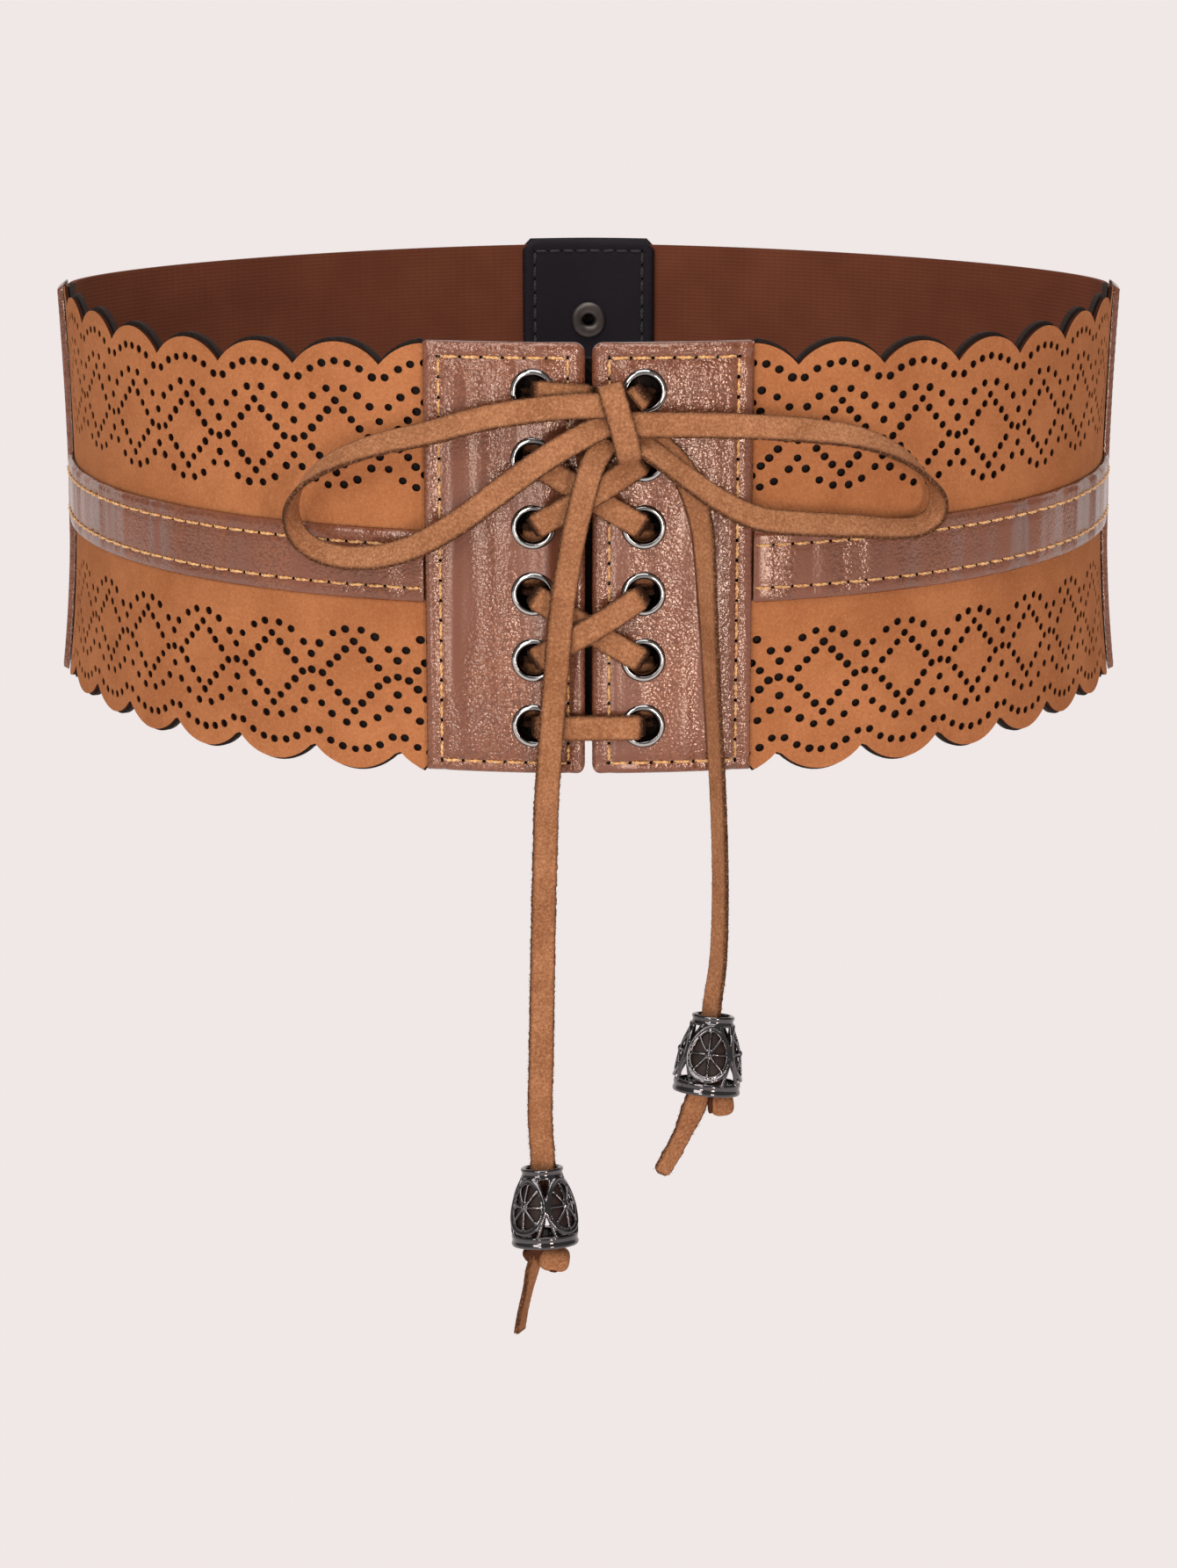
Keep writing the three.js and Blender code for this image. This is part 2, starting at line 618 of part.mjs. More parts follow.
// Each tail runs through its bead and ends at the knot that keeps the bead on.
const TAIL_LEFT_ROWS = [
  { along: 4.6, up: 31.6, out: 4.5, turn: 0 },
  { along: 1.9, up: 27.8, out: 6.2, turn: -4 },
  { along: 0.0, up: 23.6, out: 8.5, turn: -8 },
  { along: -1.4, up: 18.0, out: 8.8, turn: -12 },
  { along: -3.0, up: 11.0, out: 8.6, turn: -16 },
  { along: -4.6, up: 2.0, out: 8.0, turn: -18 },
  { along: -6.1, up: -8.3, out: 8.4, turn: -16 },
  { along: -6.8, up: -16.0, out: 9.0, turn: -15 },
  { along: -7.4, up: -24.0, out: 9.0, turn: -16 },
  { along: -8.2, up: -33.0, out: 8.6, turn: -17 },
  { along: -9.0, up: -44.0, out: 7.8, turn: -18 },
  { along: -9.8, up: -56.0, out: 7.2, turn: -17 },
  { along: -10.4, up: -76.0, out: 6.9, turn: -16 },
  { along: -10.9, up: -98.6, out: 6.8, turn: -14 },
  { along: -11.3, up: -121.4, out: 6.8, turn: -12 },
  { along: -11.6, up: -138.0, out: 6.8, turn: -6 },
  { ...beadPlace("left", 0), turn: 0 },
  { ...beadPlace("left", BEAD_HEIGHT + 0.5), turn: 0 },
];

const TAIL_RIGHT_ROWS = [
  { along: 10.4, up: 33.5, out: 4.5, turn: 0 },
  { along: 14.4, up: 31.6, out: 4.6, turn: 2 },
  { along: 19.2, up: 27.4, out: 4.4, turn: 4 },
  { along: 23.6, up: 21.0, out: 4.4, turn: 14 },
  { along: 26.4, up: 10.6, out: 5.4, turn: 42 },
  { along: 28.0, up: -10.8, out: 6.2, turn: 62 },
  { along: 29.2, up: -32.6, out: 6.4, turn: 68 },
  { along: 30.5, up: -54.6, out: 6.4, turn: 69 },
  { along: 31.3, up: -76.9, out: 6.4, turn: 69 },
  { along: 31.0, up: -98.0, out: 6.4, turn: 66 },
  { ...beadPlace("right", 0), turn: 60 },
  { ...beadPlace("right", BEAD_HEIGHT + 0.5), turn: 60 },
];

function addBow() {
  addKnot();
  addPiece("lace_loop_left", laceSolid(LOOP_LEFT_ROWS), laceSuede);
  addPiece("lace_loop_right", laceSolid(LOOP_RIGHT_ROWS), laceSuede);
  addPiece("lace_tail_left", laceSolid(TAIL_LEFT_ROWS), laceSuede);
  addPiece("lace_tail_right", laceSolid(TAIL_RIGHT_ROWS), laceSuede);
}

// An opening in a bead's wall, given by its corners as turns round the axis and heights: a wedge that
// widens away from the axis.
function beadWindow(corners) {
  const rings = [3, 12].map((radius) =>
    corners.map(([turn, height]) => {
      const angle = THREE.MathUtils.degToRad(turn);
      return new THREE.Vector3(radius * Math.cos(angle), height, radius * Math.sin(angle));
    }),
  );
  return toSolid(ringSolid(rings));
}

// The openings between the spokes of one oval wheel.
function wheelWindows(middleTurn) {
  const hub = 0.26;
  const rim = 0.9;
  const sector = 360 / SPOKES;
  const spokeHalf = 5;
  const place = (reach, angle) => {
    const radians = THREE.MathUtils.degToRad(angle);
    return [
      middleTurn + WHEEL_HALF_TURN * reach * Math.cos(radians),
      WHEEL_MIDDLE + WHEEL_HALF_HEIGHT * reach * Math.sin(radians),
    ];
  };
  return Array.from({ length: SPOKES }, (_, i) => {
    const [from, to] = [sector * i, sector * (i + 1)];
    return [place(hub, (from + to) / 2), place(rim, from + spokeHalf), place(rim, to - spokeHalf)];
  });
}

// The openings between two wheels: a triangle below and one above.
function cornerWindows(middleTurn) {
  const [low, high] = [3.8, 16.8];
  return [
    [[-13, low], [13, low], [0, 8.2]],
    [[-17, high], [0, 13.0], [17, high]],
  ].map((corners) => corners.map(([turn, height]) => [middleTurn + turn, height]));
}

// Pierced bell-shaped bead with a collar on top and a heavier ring at its foot.
function beadGeometry() {
  const profile = [
    [7, 0],
    [8.4, 0],
    [8.4, 3.2],
    [7.7, 9.6],
    [5.3, 17],
    [5.3, 19.6],
    [4, 19.6],
    [4, 17.2],
    [6.3, 9.6],
  ];
  let bead = toSolid(lathe(profile, BEAD_SIDES));
  for (let wheel = 0; wheel < WHEELS; wheel++) {
    const turn = (360 / WHEELS) * wheel;
    const windows = wheelWindows(turn).concat(cornerWindows(turn + 180 / WHEELS));
    for (const corners of windows) bead = bead.subtract(beadWindow(corners));
  }
  return toGeometry(bead);
}

function addBeads() {
  const bead = beadGeometry();
  const faceTurn = { left: 50, right: -4 };
  for (const word of ["left", "right"]) {
    const foot = beadPlace(word, BEAD_HEIGHT);
    const foot3 = onWall(foot.along, foot.up, foot.out);
    const lean = THREE.MathUtils.degToRad(BEADS[word].lean);
    const placed = bead
      .clone()
      .rotateY(THREE.MathUtils.degToRad(faceTurn[word]))
      .rotateX(Math.PI / 2)
      .rotateY(lean)
      .rotateX(-THREE.MathUtils.degToRad(BEAD_TIP))
      .translate(foot3.x, foot3.y, foot3.z);
    addPiece("bead_" + word, placed, gunmetal);
  }
}

// Under each bead the lace is knotted once, and its cut end hangs from the knot.
const TAIL_KNOTS = {
  left: { along: -8.3, drop: 4.6, wide: 7.8, deep: 6.4, high: 5.6 },
  right: { along: 32.2, drop: 3.8, wide: 6.0, deep: 6.4, high: 5.2 },
};
const TAIL_END_ROWS = {
  left: [
    { along: -13.4, up: -178.0, out: 6.8, turn: -64 },
    { along: -14.6, up: -183.6, out: 6.8, turn: -70 },
    { along: -15.9, up: -189.6, out: 6.8, turn: -72 },
    { along: -16.8, up: -195.4, out: 6.8, turn: -72 },
  ],
  right: [
    { along: 26.2, up: -133.8, out: 6.6, turn: -16 },
    { along: 24.0, up: -139.6, out: 6.6, turn: -16 },
    { along: 20.8, up: -146.8, out: 6.6, turn: -22 },
    { along: 17.4, up: -153.2, out: 6.6, turn: -32 },
  ],
};

function addTailEnds() {
  for (const word of ["left", "right"]) {
    const { along, drop, wide, deep, high } = TAIL_KNOTS[word];
    const place = onWall(along, beadPlace(word, BEAD_HEIGHT).up - drop, BEADS[word].out);
    const lump = new THREE.SphereGeometry(0.5, 10, 6);
    lump.scale(wide, high, deep).rotateX(Math.PI / 2).translate(place.x, place.y, place.z);
    addPiece("tail_knot_" + word, lump, laceSuede);
    addPiece("tail_end_" + word, laceSolid(TAIL_END_ROWS[word]), laceSuede);
  }
}

for (const [side, word] of [[-1, "left"], [1, "right"]]) {
  addFrontPanel(side, word);
  addSuede(side, word);
  addMiddleStrip(side, word);
  addEyelets(side, word);
  addSideTrim(side, word);
  addElastic(side, word);
}
addPlacket();
addSnapTabs();
addSnaps();
addLacing();
addBow();
addBeads();
addTailEnds();

export default belt;
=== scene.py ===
# %% [markdown]
# A wide lace-up belt, dressed for its portrait. The hard construction is already there: every piece
# comes in at its real size and place. This lesson builds the surfaces that people look at: punched
# suede, padded leather, a flat suede lace tied in a bow, gunmetal eyelets and pierced beads.
#
# First the construction is loaded. It is a fixed frame: nothing in it is moved, and each new piece
# takes its place from it.

# %% Load the construction
import math

import bmesh
import bpy
import numpy as np
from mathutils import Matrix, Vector
from mathutils.geometry import delaunay_2d_cdt


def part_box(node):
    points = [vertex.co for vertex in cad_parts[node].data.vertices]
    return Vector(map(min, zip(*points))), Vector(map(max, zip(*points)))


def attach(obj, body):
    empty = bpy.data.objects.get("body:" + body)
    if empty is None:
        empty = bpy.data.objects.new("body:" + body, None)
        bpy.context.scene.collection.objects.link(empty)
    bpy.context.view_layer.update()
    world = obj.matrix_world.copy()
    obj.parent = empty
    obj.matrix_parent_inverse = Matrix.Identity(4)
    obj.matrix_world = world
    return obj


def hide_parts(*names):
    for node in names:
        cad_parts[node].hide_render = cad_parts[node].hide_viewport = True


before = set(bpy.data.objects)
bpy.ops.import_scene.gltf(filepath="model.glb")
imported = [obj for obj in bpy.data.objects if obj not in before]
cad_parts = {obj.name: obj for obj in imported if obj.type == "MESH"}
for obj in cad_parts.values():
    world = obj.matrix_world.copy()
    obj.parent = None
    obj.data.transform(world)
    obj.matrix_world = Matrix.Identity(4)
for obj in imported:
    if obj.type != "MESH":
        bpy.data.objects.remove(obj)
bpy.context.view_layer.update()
MM = 0.001
SIDES = ((-1, "left"), (1, "right"))
print("nodes", len(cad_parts))

# %% [markdown]
# Nearly everything on a belt follows its wall. So places are given as a tailor would mark them on
# the flat strip: how far along from the middle of the front, how high, and how far out from the face
# of the suede, all in millimetres. One function bends such places round the waist. The plan is two
# half ovals. At the sides the wall is narrowest at mid-height and leans out towards both edges, as a
# belt does that was shaped on a waist. The numbers repeat those of the construction.

# %% Bend flat places round the waist
HALF_WIDTH = 141.4
FRONT_DEPTH = 139.0
BACK_DEPTH = 101.0
FRONT_POWER = 2.1
BACK_POWER = 1.6
BELT_TOP, BELT_LOW = 53.5, -52.5
FLARE = {"low": 3.5, "top": 1.2, "begin": 150, "full": 205, "fade": 225, "gone": 320}


def quarter_plan(depth, power):
    """Points of one quarter of the plan, from the belt's centre line to its side."""
    angle = np.linspace(0, math.pi / 2, 1501)
    across = HALF_WIDTH * np.sin(angle) ** (2 / power)
    back = depth * np.maximum(np.cos(angle), 0) ** (2 / power)
    return np.column_stack([across, back])


front_quarter = quarter_plan(-FRONT_DEPTH, FRONT_POWER)
back_quarter = quarter_plan(BACK_DEPTH, BACK_POWER)[::-1]
half_plan = np.vstack([front_quarter, back_quarter[1:]])
half_distances = np.concatenate([[0], np.cumsum(np.linalg.norm(np.diff(half_plan, axis=0), axis=1))])
HALF_ROUND = half_distances[-1]


def plan_point(along):
    """Plan point at a distance round the belt. Past the back centre it goes on round the other side."""
    wrapped = (np.asarray(along, float) + HALF_ROUND) % (2 * HALF_ROUND) - HALF_ROUND
    across = np.interp(np.abs(wrapped), half_distances, half_plan[:, 0]) * np.sign(wrapped)
    return across, np.interp(np.abs(wrapped), half_distances, half_plan[:, 1])


def outward(along):
    """Direction straight out of the wall, as an array of unit vectors."""
    reach = 0.8
    x1, y1 = plan_point(along + reach)
    x0, y0 = plan_point(along - reach)
    away = np.stack([y1 - y0, x0 - x1, np.zeros_like(x1)], -1)
    return away / np.linalg.norm(away, axis=-1, keepdims=True)


def smooth_step(value, start, end):
    share = np.clip((value - start) / (end - start), 0, 1)
    return share * share * (3 - 2 * share)


def flare(along, up):
    """How far the wall leans out at a place."""
    distance = np.abs(along)
    share = smooth_step(distance, FLARE["begin"], FLARE["full"])
    share = share * (1 - smooth_step(distance, FLARE["fade"], FLARE["gone"]))
    return share * np.where(up < 0, FLARE["low"], FLARE["top"]) * (up / BELT_LOW) ** 2


def on_wall(along, up, out):
    """Wall places in millimetres to points in metres."""
    along, up, out = np.broadcast_arrays(*(np.asarray(v, float) for v in (along, up, out)))
    x, y = plan_point(along)
    reach = out + flare(along, up)
    return (np.stack([x, y, up], -1) + outward(along) * reach[..., None]) * MM


print("half way round the belt in mm", round(float(HALF_ROUND), 1))

# %% [markdown]
# The camera stands nearly a metre in front of the belt and a little above it, looking slightly down,
# so that the inside of the back shows over the front. Its lens is long, as for product photographs.

# %% Set up the camera
CAMERA_PLACE = (0, -0.9684, 0.1631)
CAMERA_PITCH = 0.256
LENS = 80.48
camera_data = bpy.data.cameras.new("camera")
camera_data.lens = LENS
camera_data.sensor_width = 36
camera = bpy.data.objects.new("camera", camera_data)
camera.location = CAMERA_PLACE
camera.rotation_euler = (math.pi / 2 - CAMERA_PITCH, 0, 0)
bpy.context.scene.collection.objects.link(camera)
bpy.context.scene.camera = camera
bpy.context.scene.view_settings.view_transform = "Standard"
print("lens in mm", LENS)

# %% [markdown]
# Every finish is a node tree, and most trees have the same few parts: a principled shader, some noise,
# a ramp between colours and a bump. Small helpers keep each recipe short. Colours are written as the
# eye names them, in the numbers of a paint program, and turned into the light values that shaders use.

# %% Helpers for finishes


def srgb(red, green, blue):
    """A screen colour from 0 to 255 as linear light."""
    parts = [c / 255 for c in (red, green, blue)]
    return tuple(c / 12.92 if c <= 0.04045 else ((c + 0.055) / 1.055) ** 2.4 for c in parts) + (1,)


class Finish:
    """A material whose nodes are added and joined in one call each."""

    def __init__(self, name, **shader):
        self.material = bpy.data.materials.new(name)
        self.material.use_nodes = True
        self.nodes = self.material.node_tree.nodes
        self.shader = self.nodes["Principled BSDF"]
        self.place = self.add("ShaderNodeTexCoord").outputs["Object"]
        for socket, value in shader.items():
            self.shader.inputs[socket.replace("_", " ")].default_value = value

    def join(self, value, socket):
        """Feeds a socket from another socket, or sets it to a plain value."""
        if isinstance(value, bpy.types.NodeSocket):
            self.material.node_tree.links.new(value, socket)
        else:
            socket.default_value = value

    def add(self, kind, settings=(), **inputs):
        node = self.nodes.new(kind)
        for key, value in dict(settings).items():
            setattr(node, key, value)
        for key, value in inputs.items():
            self.join(value, node.inputs[key.replace("_", " ")])
        return node

    def noise(self, scale, detail=3, roughness=0.5, stretch=None):
        """Cloudy noise. A stretch below one along an axis draws the clouds out that way."""
        place = self.place
        if stretch:
            place = self.add("ShaderNodeMapping", Vector=place, Scale=stretch).outputs[0]
        node = self.add("ShaderNodeTexNoise", Vector=place, Scale=scale, Detail=detail, Roughness=roughness)
        return node.outputs["Fac"]

    def cells(self, scale, place):
        """Distance from the middle of the nearest of many small cells."""
        return self.add("ShaderNodeTexVoronoi", Vector=place, Scale=scale).outputs["Distance"]

    def waves(self, direction, place, scale, distortion):
        """Even bands across one direction, like the threads of a cloth."""
        node = self.add("ShaderNodeTexWave", {"bands_direction": direction}, Vector=place, Scale=scale)
        node.inputs["Distortion"].default_value = distortion
        return node.outputs["Fac"]

    def wobble(self, reach):
        """The place in the object, shifted a little by noise, so that a regular pattern runs unevenly."""
        noise = self.add("ShaderNodeTexNoise", Vector=self.place, Scale=900, Detail=2).outputs["Color"]
        centred = self.add("ShaderNodeVectorMath", {"operation": "SUBTRACT"})
        self.join(noise, centred.inputs[0])
        centred.inputs[1].default_value = (0.5, 0.5, 0.5)
        shift = self.add("ShaderNodeVectorMath", {"operation": "SCALE"})
        self.join(centred.outputs[0], shift.inputs[0])
        shift.inputs["Scale"].default_value = 2 * reach
        moved = self.add("ShaderNodeVectorMath", {"operation": "ADD"})
        self.join(self.place, moved.inputs[0])
        self.join(shift.outputs[0], moved.inputs[1])
        return moved.outputs[0]

    def attribute(self, name, output="Fac"):
        return self.add("ShaderNodeAttribute", {"attribute_name": name}).outputs[output]

    def span(self, value, low, high, to_low=0.0, to_high=1.0):
        node = self.add("ShaderNodeMapRange", Value=value)
        limits = {"From Min": low, "From Max": high, "To Min": to_low, "To Max": to_high}
        for socket, number in limits.items():
            node.inputs[socket].default_value = number
        return node.outputs[0]

    def sums(self, operation, a, b):
        node = self.add("ShaderNodeMath", {"operation": operation})
        self.join(a, node.inputs[0])
        self.join(b, node.inputs[1])
        return node.outputs[0]

    def blend(self, factor, a, b):
        """Colour a where the factor is nought, and colour b where it is one."""
        node = self.add("ShaderNodeMix", {"data_type": "RGBA"})
        self.join(factor, node.inputs[0])
        self.join(a, node.inputs[6])
        self.join(b, node.inputs[7])
        return node.outputs[2]

    def bump(self, height, distance, strength=1.0, after=None):
        """A normal that leans with a height, laid over the bump that it comes after."""
        node = self.add("ShaderNodeBump", Strength=strength, Distance=distance, Height=height)
        if after:
            self.join(after, node.inputs["Normal"])
        return node.outputs[0]

    def wear(self, **inputs):
        """Joins the finished colour, roughness and normal to the shader."""
        for key, value in inputs.items():
            self.join(value, self.shader.inputs[key.replace("_", " ")])
        print(self.material.name, "has", len(self.nodes), "nodes")
        return self.material


# %% [markdown]
# The lace is a strip cut from suede, about six millimetres wide. Its faces are short nap, so they
# have no highlight and look a little mottled. Its cut edges are rough and darker, because the fibres
# there stand open and hold shade. Each lace mesh carries a number called edge, which is one on the
# cut sides and nought on the faces, and the finish darkens and roughens by that number. Where the
# lace lies deep inside an eyelet or a bead the number rises above one, and there the finish paints
# deep shade.

# %% The lace's suede


def lace_finish():
    suede = Finish(
        "lace_suede", Roughness=0.95, Sheen_Weight=0.08, Sheen_Roughness=0.45, Specular_IOR_Level=0.05
    )
    suede.shader.inputs["Sheen Tint"].default_value = srgb(230, 180, 140)
    cloud = suede.span(suede.noise(90, 4, 0.65), 0.35, 0.65)
    nap = suede.noise(1500, 4, 0.75)
    colour = suede.blend(cloud, srgb(150, 100, 68), srgb(172, 119, 84))
    colour = suede.blend(suede.span(nap, 0.46, 0.62, 0, 0.6), colour, srgb(116, 70, 46))
    colour = suede.blend(suede.span(nap, 0.3, 0.46, 0.55, 0), colour, srgb(206, 156, 116))
    edge = suede.attribute("edge")
    cut = suede.sums("MINIMUM", edge, 1.0)
    torn = suede.span(suede.noise(1900, 3, 0.7), 0.4, 0.6)
    fringe = suede.blend(torn, srgb(66, 36, 24), srgb(156, 104, 74))
    colour = suede.blend(suede.sums("MULTIPLY", cut, 0.92), colour, fringe)
    # Painted deep shade where the edge number is above one: lace inside eyelets and beads.
    colour = suede.blend(suede.span(edge, 1.0, 1.8, 0, 0.85), colour, srgb(38, 20, 14))
    rough = suede.bump(suede.noise(1600, 4, 0.8), 0.0003, 0.8)
    fibres = suede.bump(suede.sums("MULTIPLY", torn, cut), 0.0006, 1.0, rough)
    return suede.wear(Base_Color=colour, Normal=fibres)


LACE_FINISH = lace_finish()

# %% [markdown]
# A lace could be a curve with a flat profile, but then its twist is hard to steer. Here each length
# is swept by hand. The rows give points on its middle line, and how far the strip is turned out from
# the wall. A smooth curve goes through the rows, and at each small step stands one ring of the
# strip's section: flat faces, rounded corners and cut sides.

# %% Draw the lace's path and section
LACE_WIDTH = 6.2
LACE_THICK = 1.3
LACE_STEP = 0.7


def smooth_rows(rows):
    """Goes through the rows on a smooth curve, at even steps."""
    rows = np.asarray(rows, float)
    gaps = np.linalg.norm(np.diff(rows[:, :3], axis=0), axis=1) ** 0.5
    knots = np.concatenate([[0], np.cumsum(gaps)])
    slopes = np.gradient(rows, knots, axis=0)
    fine = np.linspace(0, knots[-1], 40 * len(rows))
    which = np.clip(np.searchsorted(knots, fine, side="right") - 1, 0, len(rows) - 2)
    width = (knots[which + 1] - knots[which])[:, None]
    t = ((fine - knots[which]) / width[:, 0])[:, None]
    start, end = rows[which], rows[which + 1]
    curve = (
        (2 * t**3 - 3 * t**2 + 1) * start
        + (t**3 - 2 * t**2 + t) * width * slopes[which]
        + (3 * t**2 - 2 * t**3) * end
        + (t**3 - t**2) * width * slopes[which + 1]
    )
    reach = np.concatenate([[0], np.cumsum(np.linalg.norm(np.diff(curve[:, :3], axis=0), axis=1))])
    even = np.linspace(0, reach[-1], max(6, round(reach[-1] / LACE_STEP)))
    return np.column_stack([np.interp(even, reach, column) for column in curve.T])


def lace_section():
    """Section points across and through the strip, with the edge number of each."""
    half, thick, round_off = LACE_WIDTH / 2, LACE_THICK / 2, 0.35
    face = [(x, thick, 0.0) for x in (-2.2, -1.1, 0.0, 1.1, 2.2)]
    corner = [(half - round_off, thick, 0.35), (half - 0.08, thick * 0.6, 1.0), (half, 0.0, 1.0)]
    top = [(-x, z, e) for x, z, e in corner[:2][::-1]] + face + corner
    return np.array(top + [(-x, -z, e) for x, z, e in top])


def unit(vectors):
    return vectors / np.linalg.norm(vectors, axis=-1, keepdims=True)


print("points round the lace's section", len(lace_section()))

# %% [markdown]
# Every piece of the dressed belt is made by one function, so all of them are closed bodies whose
# faces look outwards. It also gives each piece its finish, hides the nodes of the construction whose
# place it takes, and hangs it on the root, since no part of a belt turns on a joint. Laces, stitches,
# wires and lumps are all rings of points joined by quads, and so one more function makes the faces
# of them all.

# %% Make a piece


def new_piece(name, points, faces, finish, nodes=(), sharp=35):
    """Makes a closed mesh object in its final place, smooth but for edges sharper than an angle."""
    mesh = bpy.data.meshes.new(name)
    mesh.from_pydata([tuple(p) for p in points], [], [tuple(int(i) for i in f) for f in faces])
    mesh.materials.append(finish)
    tidy = bmesh.new()
    tidy.from_mesh(mesh)
    bmesh.ops.recalc_face_normals(tidy, faces=tidy.faces)
    tidy.to_mesh(mesh)
    tidy.free()
    mesh.shade_smooth()
    mesh.set_sharp_from_angle(angle=math.radians(sharp))
    piece = bpy.data.objects.new(name, mesh)
    bpy.context.scene.collection.objects.link(piece)
    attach(piece, "root")
    if nodes:
        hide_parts(*nodes)
    return piece


def tube_faces(rings, size, closed=False):
    """Quads between rings of points, with both ends capped unless the run is closed."""
    faces = []
    for i in range(rings if closed else rings - 1):
        a, b = i * size, ((i + 1) % rings) * size
        faces += [(a + j, a + (j + 1) % size, b + (j + 1) % size, b + j) for j in range(size)]
    if not closed:
        faces += [tuple(range(size))[::-1], tuple(range((rings - 1) * size, rings * size))]
    return faces


def rings_round(middle, cross, away, angle, radius):
    """A ring of points round each middle, in the plane of its directions cross and away."""
    spokes = cross[:, None] * np.cos(angle)[None, :, None] + away[:, None] * np.sin(angle)[None, :, None]
    return middle[:, None] + radius * spokes


print("faces of a short tube", len(tube_faces(3, 6)))

# %% [markdown]
# The cut sides of the lace are slightly ragged, and loose fibres stand out of them. Each fibre is a
# tiny three-sided spike, because that is the smallest closed body there is.
#
# Inside an eyelet or a bead the lace is squeezed narrower, and little light gets there. So where a
# strip is squeezed its edge number rises up to two, and above one the finish turns to deep shade.

# %% Sweep a lace
END_ROUND = 1.9
RAGGED_SIDE, RAGGED_FACE = 0.09, 0.02
FIBRES_PER_MM = 5
FIBRE_SHORTEST, FIBRE_LONGEST = 0.25, 0.75
FIBRE_THICK = 0.05
SQUEEZE_SHADE = 10.0
rng = np.random.default_rng(8)


def spikes(roots, tips, thick):
    """Thin three-sided spikes from roots to tips, as points and faces."""
    forward = unit(tips - roots)
    no_fibre_lies_so = [0.31, 0.52, 0.79]
    cross = unit(np.cross(forward, no_fibre_lies_so))
    ring = rings_round(roots, cross, np.cross(forward, cross), np.array([0, 2.1, 4.2]), thick)
    points = np.concatenate([ring, tips[:, None]], 1).reshape(-1, 3)
    start = 4 * np.arange(len(roots))[:, None]
    faces = [start + np.array(f) for f in ((2, 1, 0), (0, 1, 3), (1, 2, 3), (2, 0, 3))]
    return points, [tuple(f) for f in np.vstack(faces)]


def squeezed_ends(steps, start, end, share):
    """Width shares along a strip that is squeezed over a length at its start or end."""
    place = np.arange(steps) * LACE_STEP
    shares = np.ones(steps)
    for length, distance in ((start, place), (end, place[::-1])):
        if length:
            shares = np.minimum(shares, share + (1 - share) * smooth_step(distance, length * 0.6, length))
    return shares


def loose_fibres(middle, across, scale):
    """Fibres that stand out of both cut sides of a strip, as points and faces."""
    forward = unit(np.gradient(middle, axis=0))
    through = unit(np.cross(forward, across))
    where = rng.integers(0, len(middle), int(len(middle) * LACE_STEP * FIBRES_PER_MM))
    way = rng.choice([-1.0, 1.0], len(where))[:, None]
    depth = rng.uniform(-0.45, 0.45, way.shape) * LACE_THICK
    roots = middle[where] + rng.uniform(-0.5, 0.5, way.shape) * LACE_STEP * forward[where] * MM
    just_inside = scale[where, None] * LACE_WIDTH / 2 - 0.1
    roots = roots + (across[where] * way * just_inside + through[where] * depth) * MM
    reach = across[where] * way * rng.uniform(FIBRE_SHORTEST, FIBRE_LONGEST, way.shape)
    lean = forward[where] * rng.normal(0, 0.3, way.shape)
    lean = lean + through[where] * rng.normal(0, 0.15, way.shape)
    return spikes(roots, roots + (reach + lean) * MM, FIBRE_THICK * MM)


def sweep_lace(name, middle, across, nodes, rounded, squeeze, darkens):
    """A strip along its middle line, whose width lies across. squeeze is the share of its full width
    at each step, and rounded takes the corners off its far end."""
    forward = unit(np.gradient(middle, axis=0))
    through = unit(np.cross(forward, across))
    section = lace_section()
    count, steps = len(section), len(middle)
    scale = squeeze
    if rounded:
        left = np.minimum(1, np.arange(steps)[::-1] * LACE_STEP / END_ROUND)
        scale = scale * (0.5 + 0.5 * np.sqrt(1 - (1 - left) ** 2))
    wide = section[:, 0][None, :] * scale[:, None]
    wide = wide + section[:, 2] * np.sign(section[:, 0]) * rng.normal(0, RAGGED_SIDE, (steps, count))
    thick = section[:, 1][None, :] + rng.normal(0, RAGGED_FACE, (steps, count))
    rings = middle[:, None] + (across[:, None] * wide[..., None] + through[:, None] * thick[..., None]) * MM
    fibre_points, fibre_faces = loose_fibres(middle, across, scale)
    offset = steps * count
    faces = tube_faces(steps, count) + [tuple(i + offset for i in f) for f in fibre_faces]
    points = np.vstack([rings.reshape(-1, 3), fibre_points])
    piece = new_piece(name, points, faces, LACE_FINISH, nodes, 60)
    # Squeezed lengths lie inside eyelets and beads. Their number rises towards two, for painted shade.
    shade_of_squeeze = np.clip((1 - squeeze) * darkens, 0, 2)
    ends = np.maximum(np.tile(section[:, 2], (steps, 1)), shade_of_squeeze[:, None])
    ends[[0, -1]] = np.maximum(ends[[0, -1]], 1)
    shade = piece.data.attributes.new("edge", "FLOAT", "POINT")
    edge_and_shade_numbers = np.concatenate([ends.ravel(), np.ones(len(fibre_points))])
    shade.data.foreach_set("value", edge_and_shade_numbers.astype(np.float32))
    return piece


def lace(name, rows, nodes=(), run=None, rounded=False, squeezed=(0.0, 0.0, 1.0), darkens=SQUEEZE_SHADE):
    """One length of lace. run is the way along the wall that a strand keeps while it dips into a hole.
    squeezed gives the squeezed lengths at both ends, and the share of the width that is left there."""
    fine = smooth_rows(rows)
    along, up, out, turn = fine.T
    middle = on_wall(along, up, out)
    forward = unit(np.gradient(middle, axis=0))
    if run is None:
        heading = forward
    else:
        heading = unit(on_wall(along + run[0], up + run[1], 0) - on_wall(along, up, 0))
    flat = unit(np.cross(outward(along), heading))
    lifted = unit(np.cross(forward, flat))
    turn = np.radians(turn)[:, None]
    across = flat * np.cos(turn) + lifted * np.sin(turn)
    squeeze = squeezed_ends(len(middle), *squeezed)
    return sweep_lace(name, middle, across, nodes, rounded, squeeze, darkens), middle


print("fibres on ten centimetres of lace", 100 * FIBRES_PER_MM)

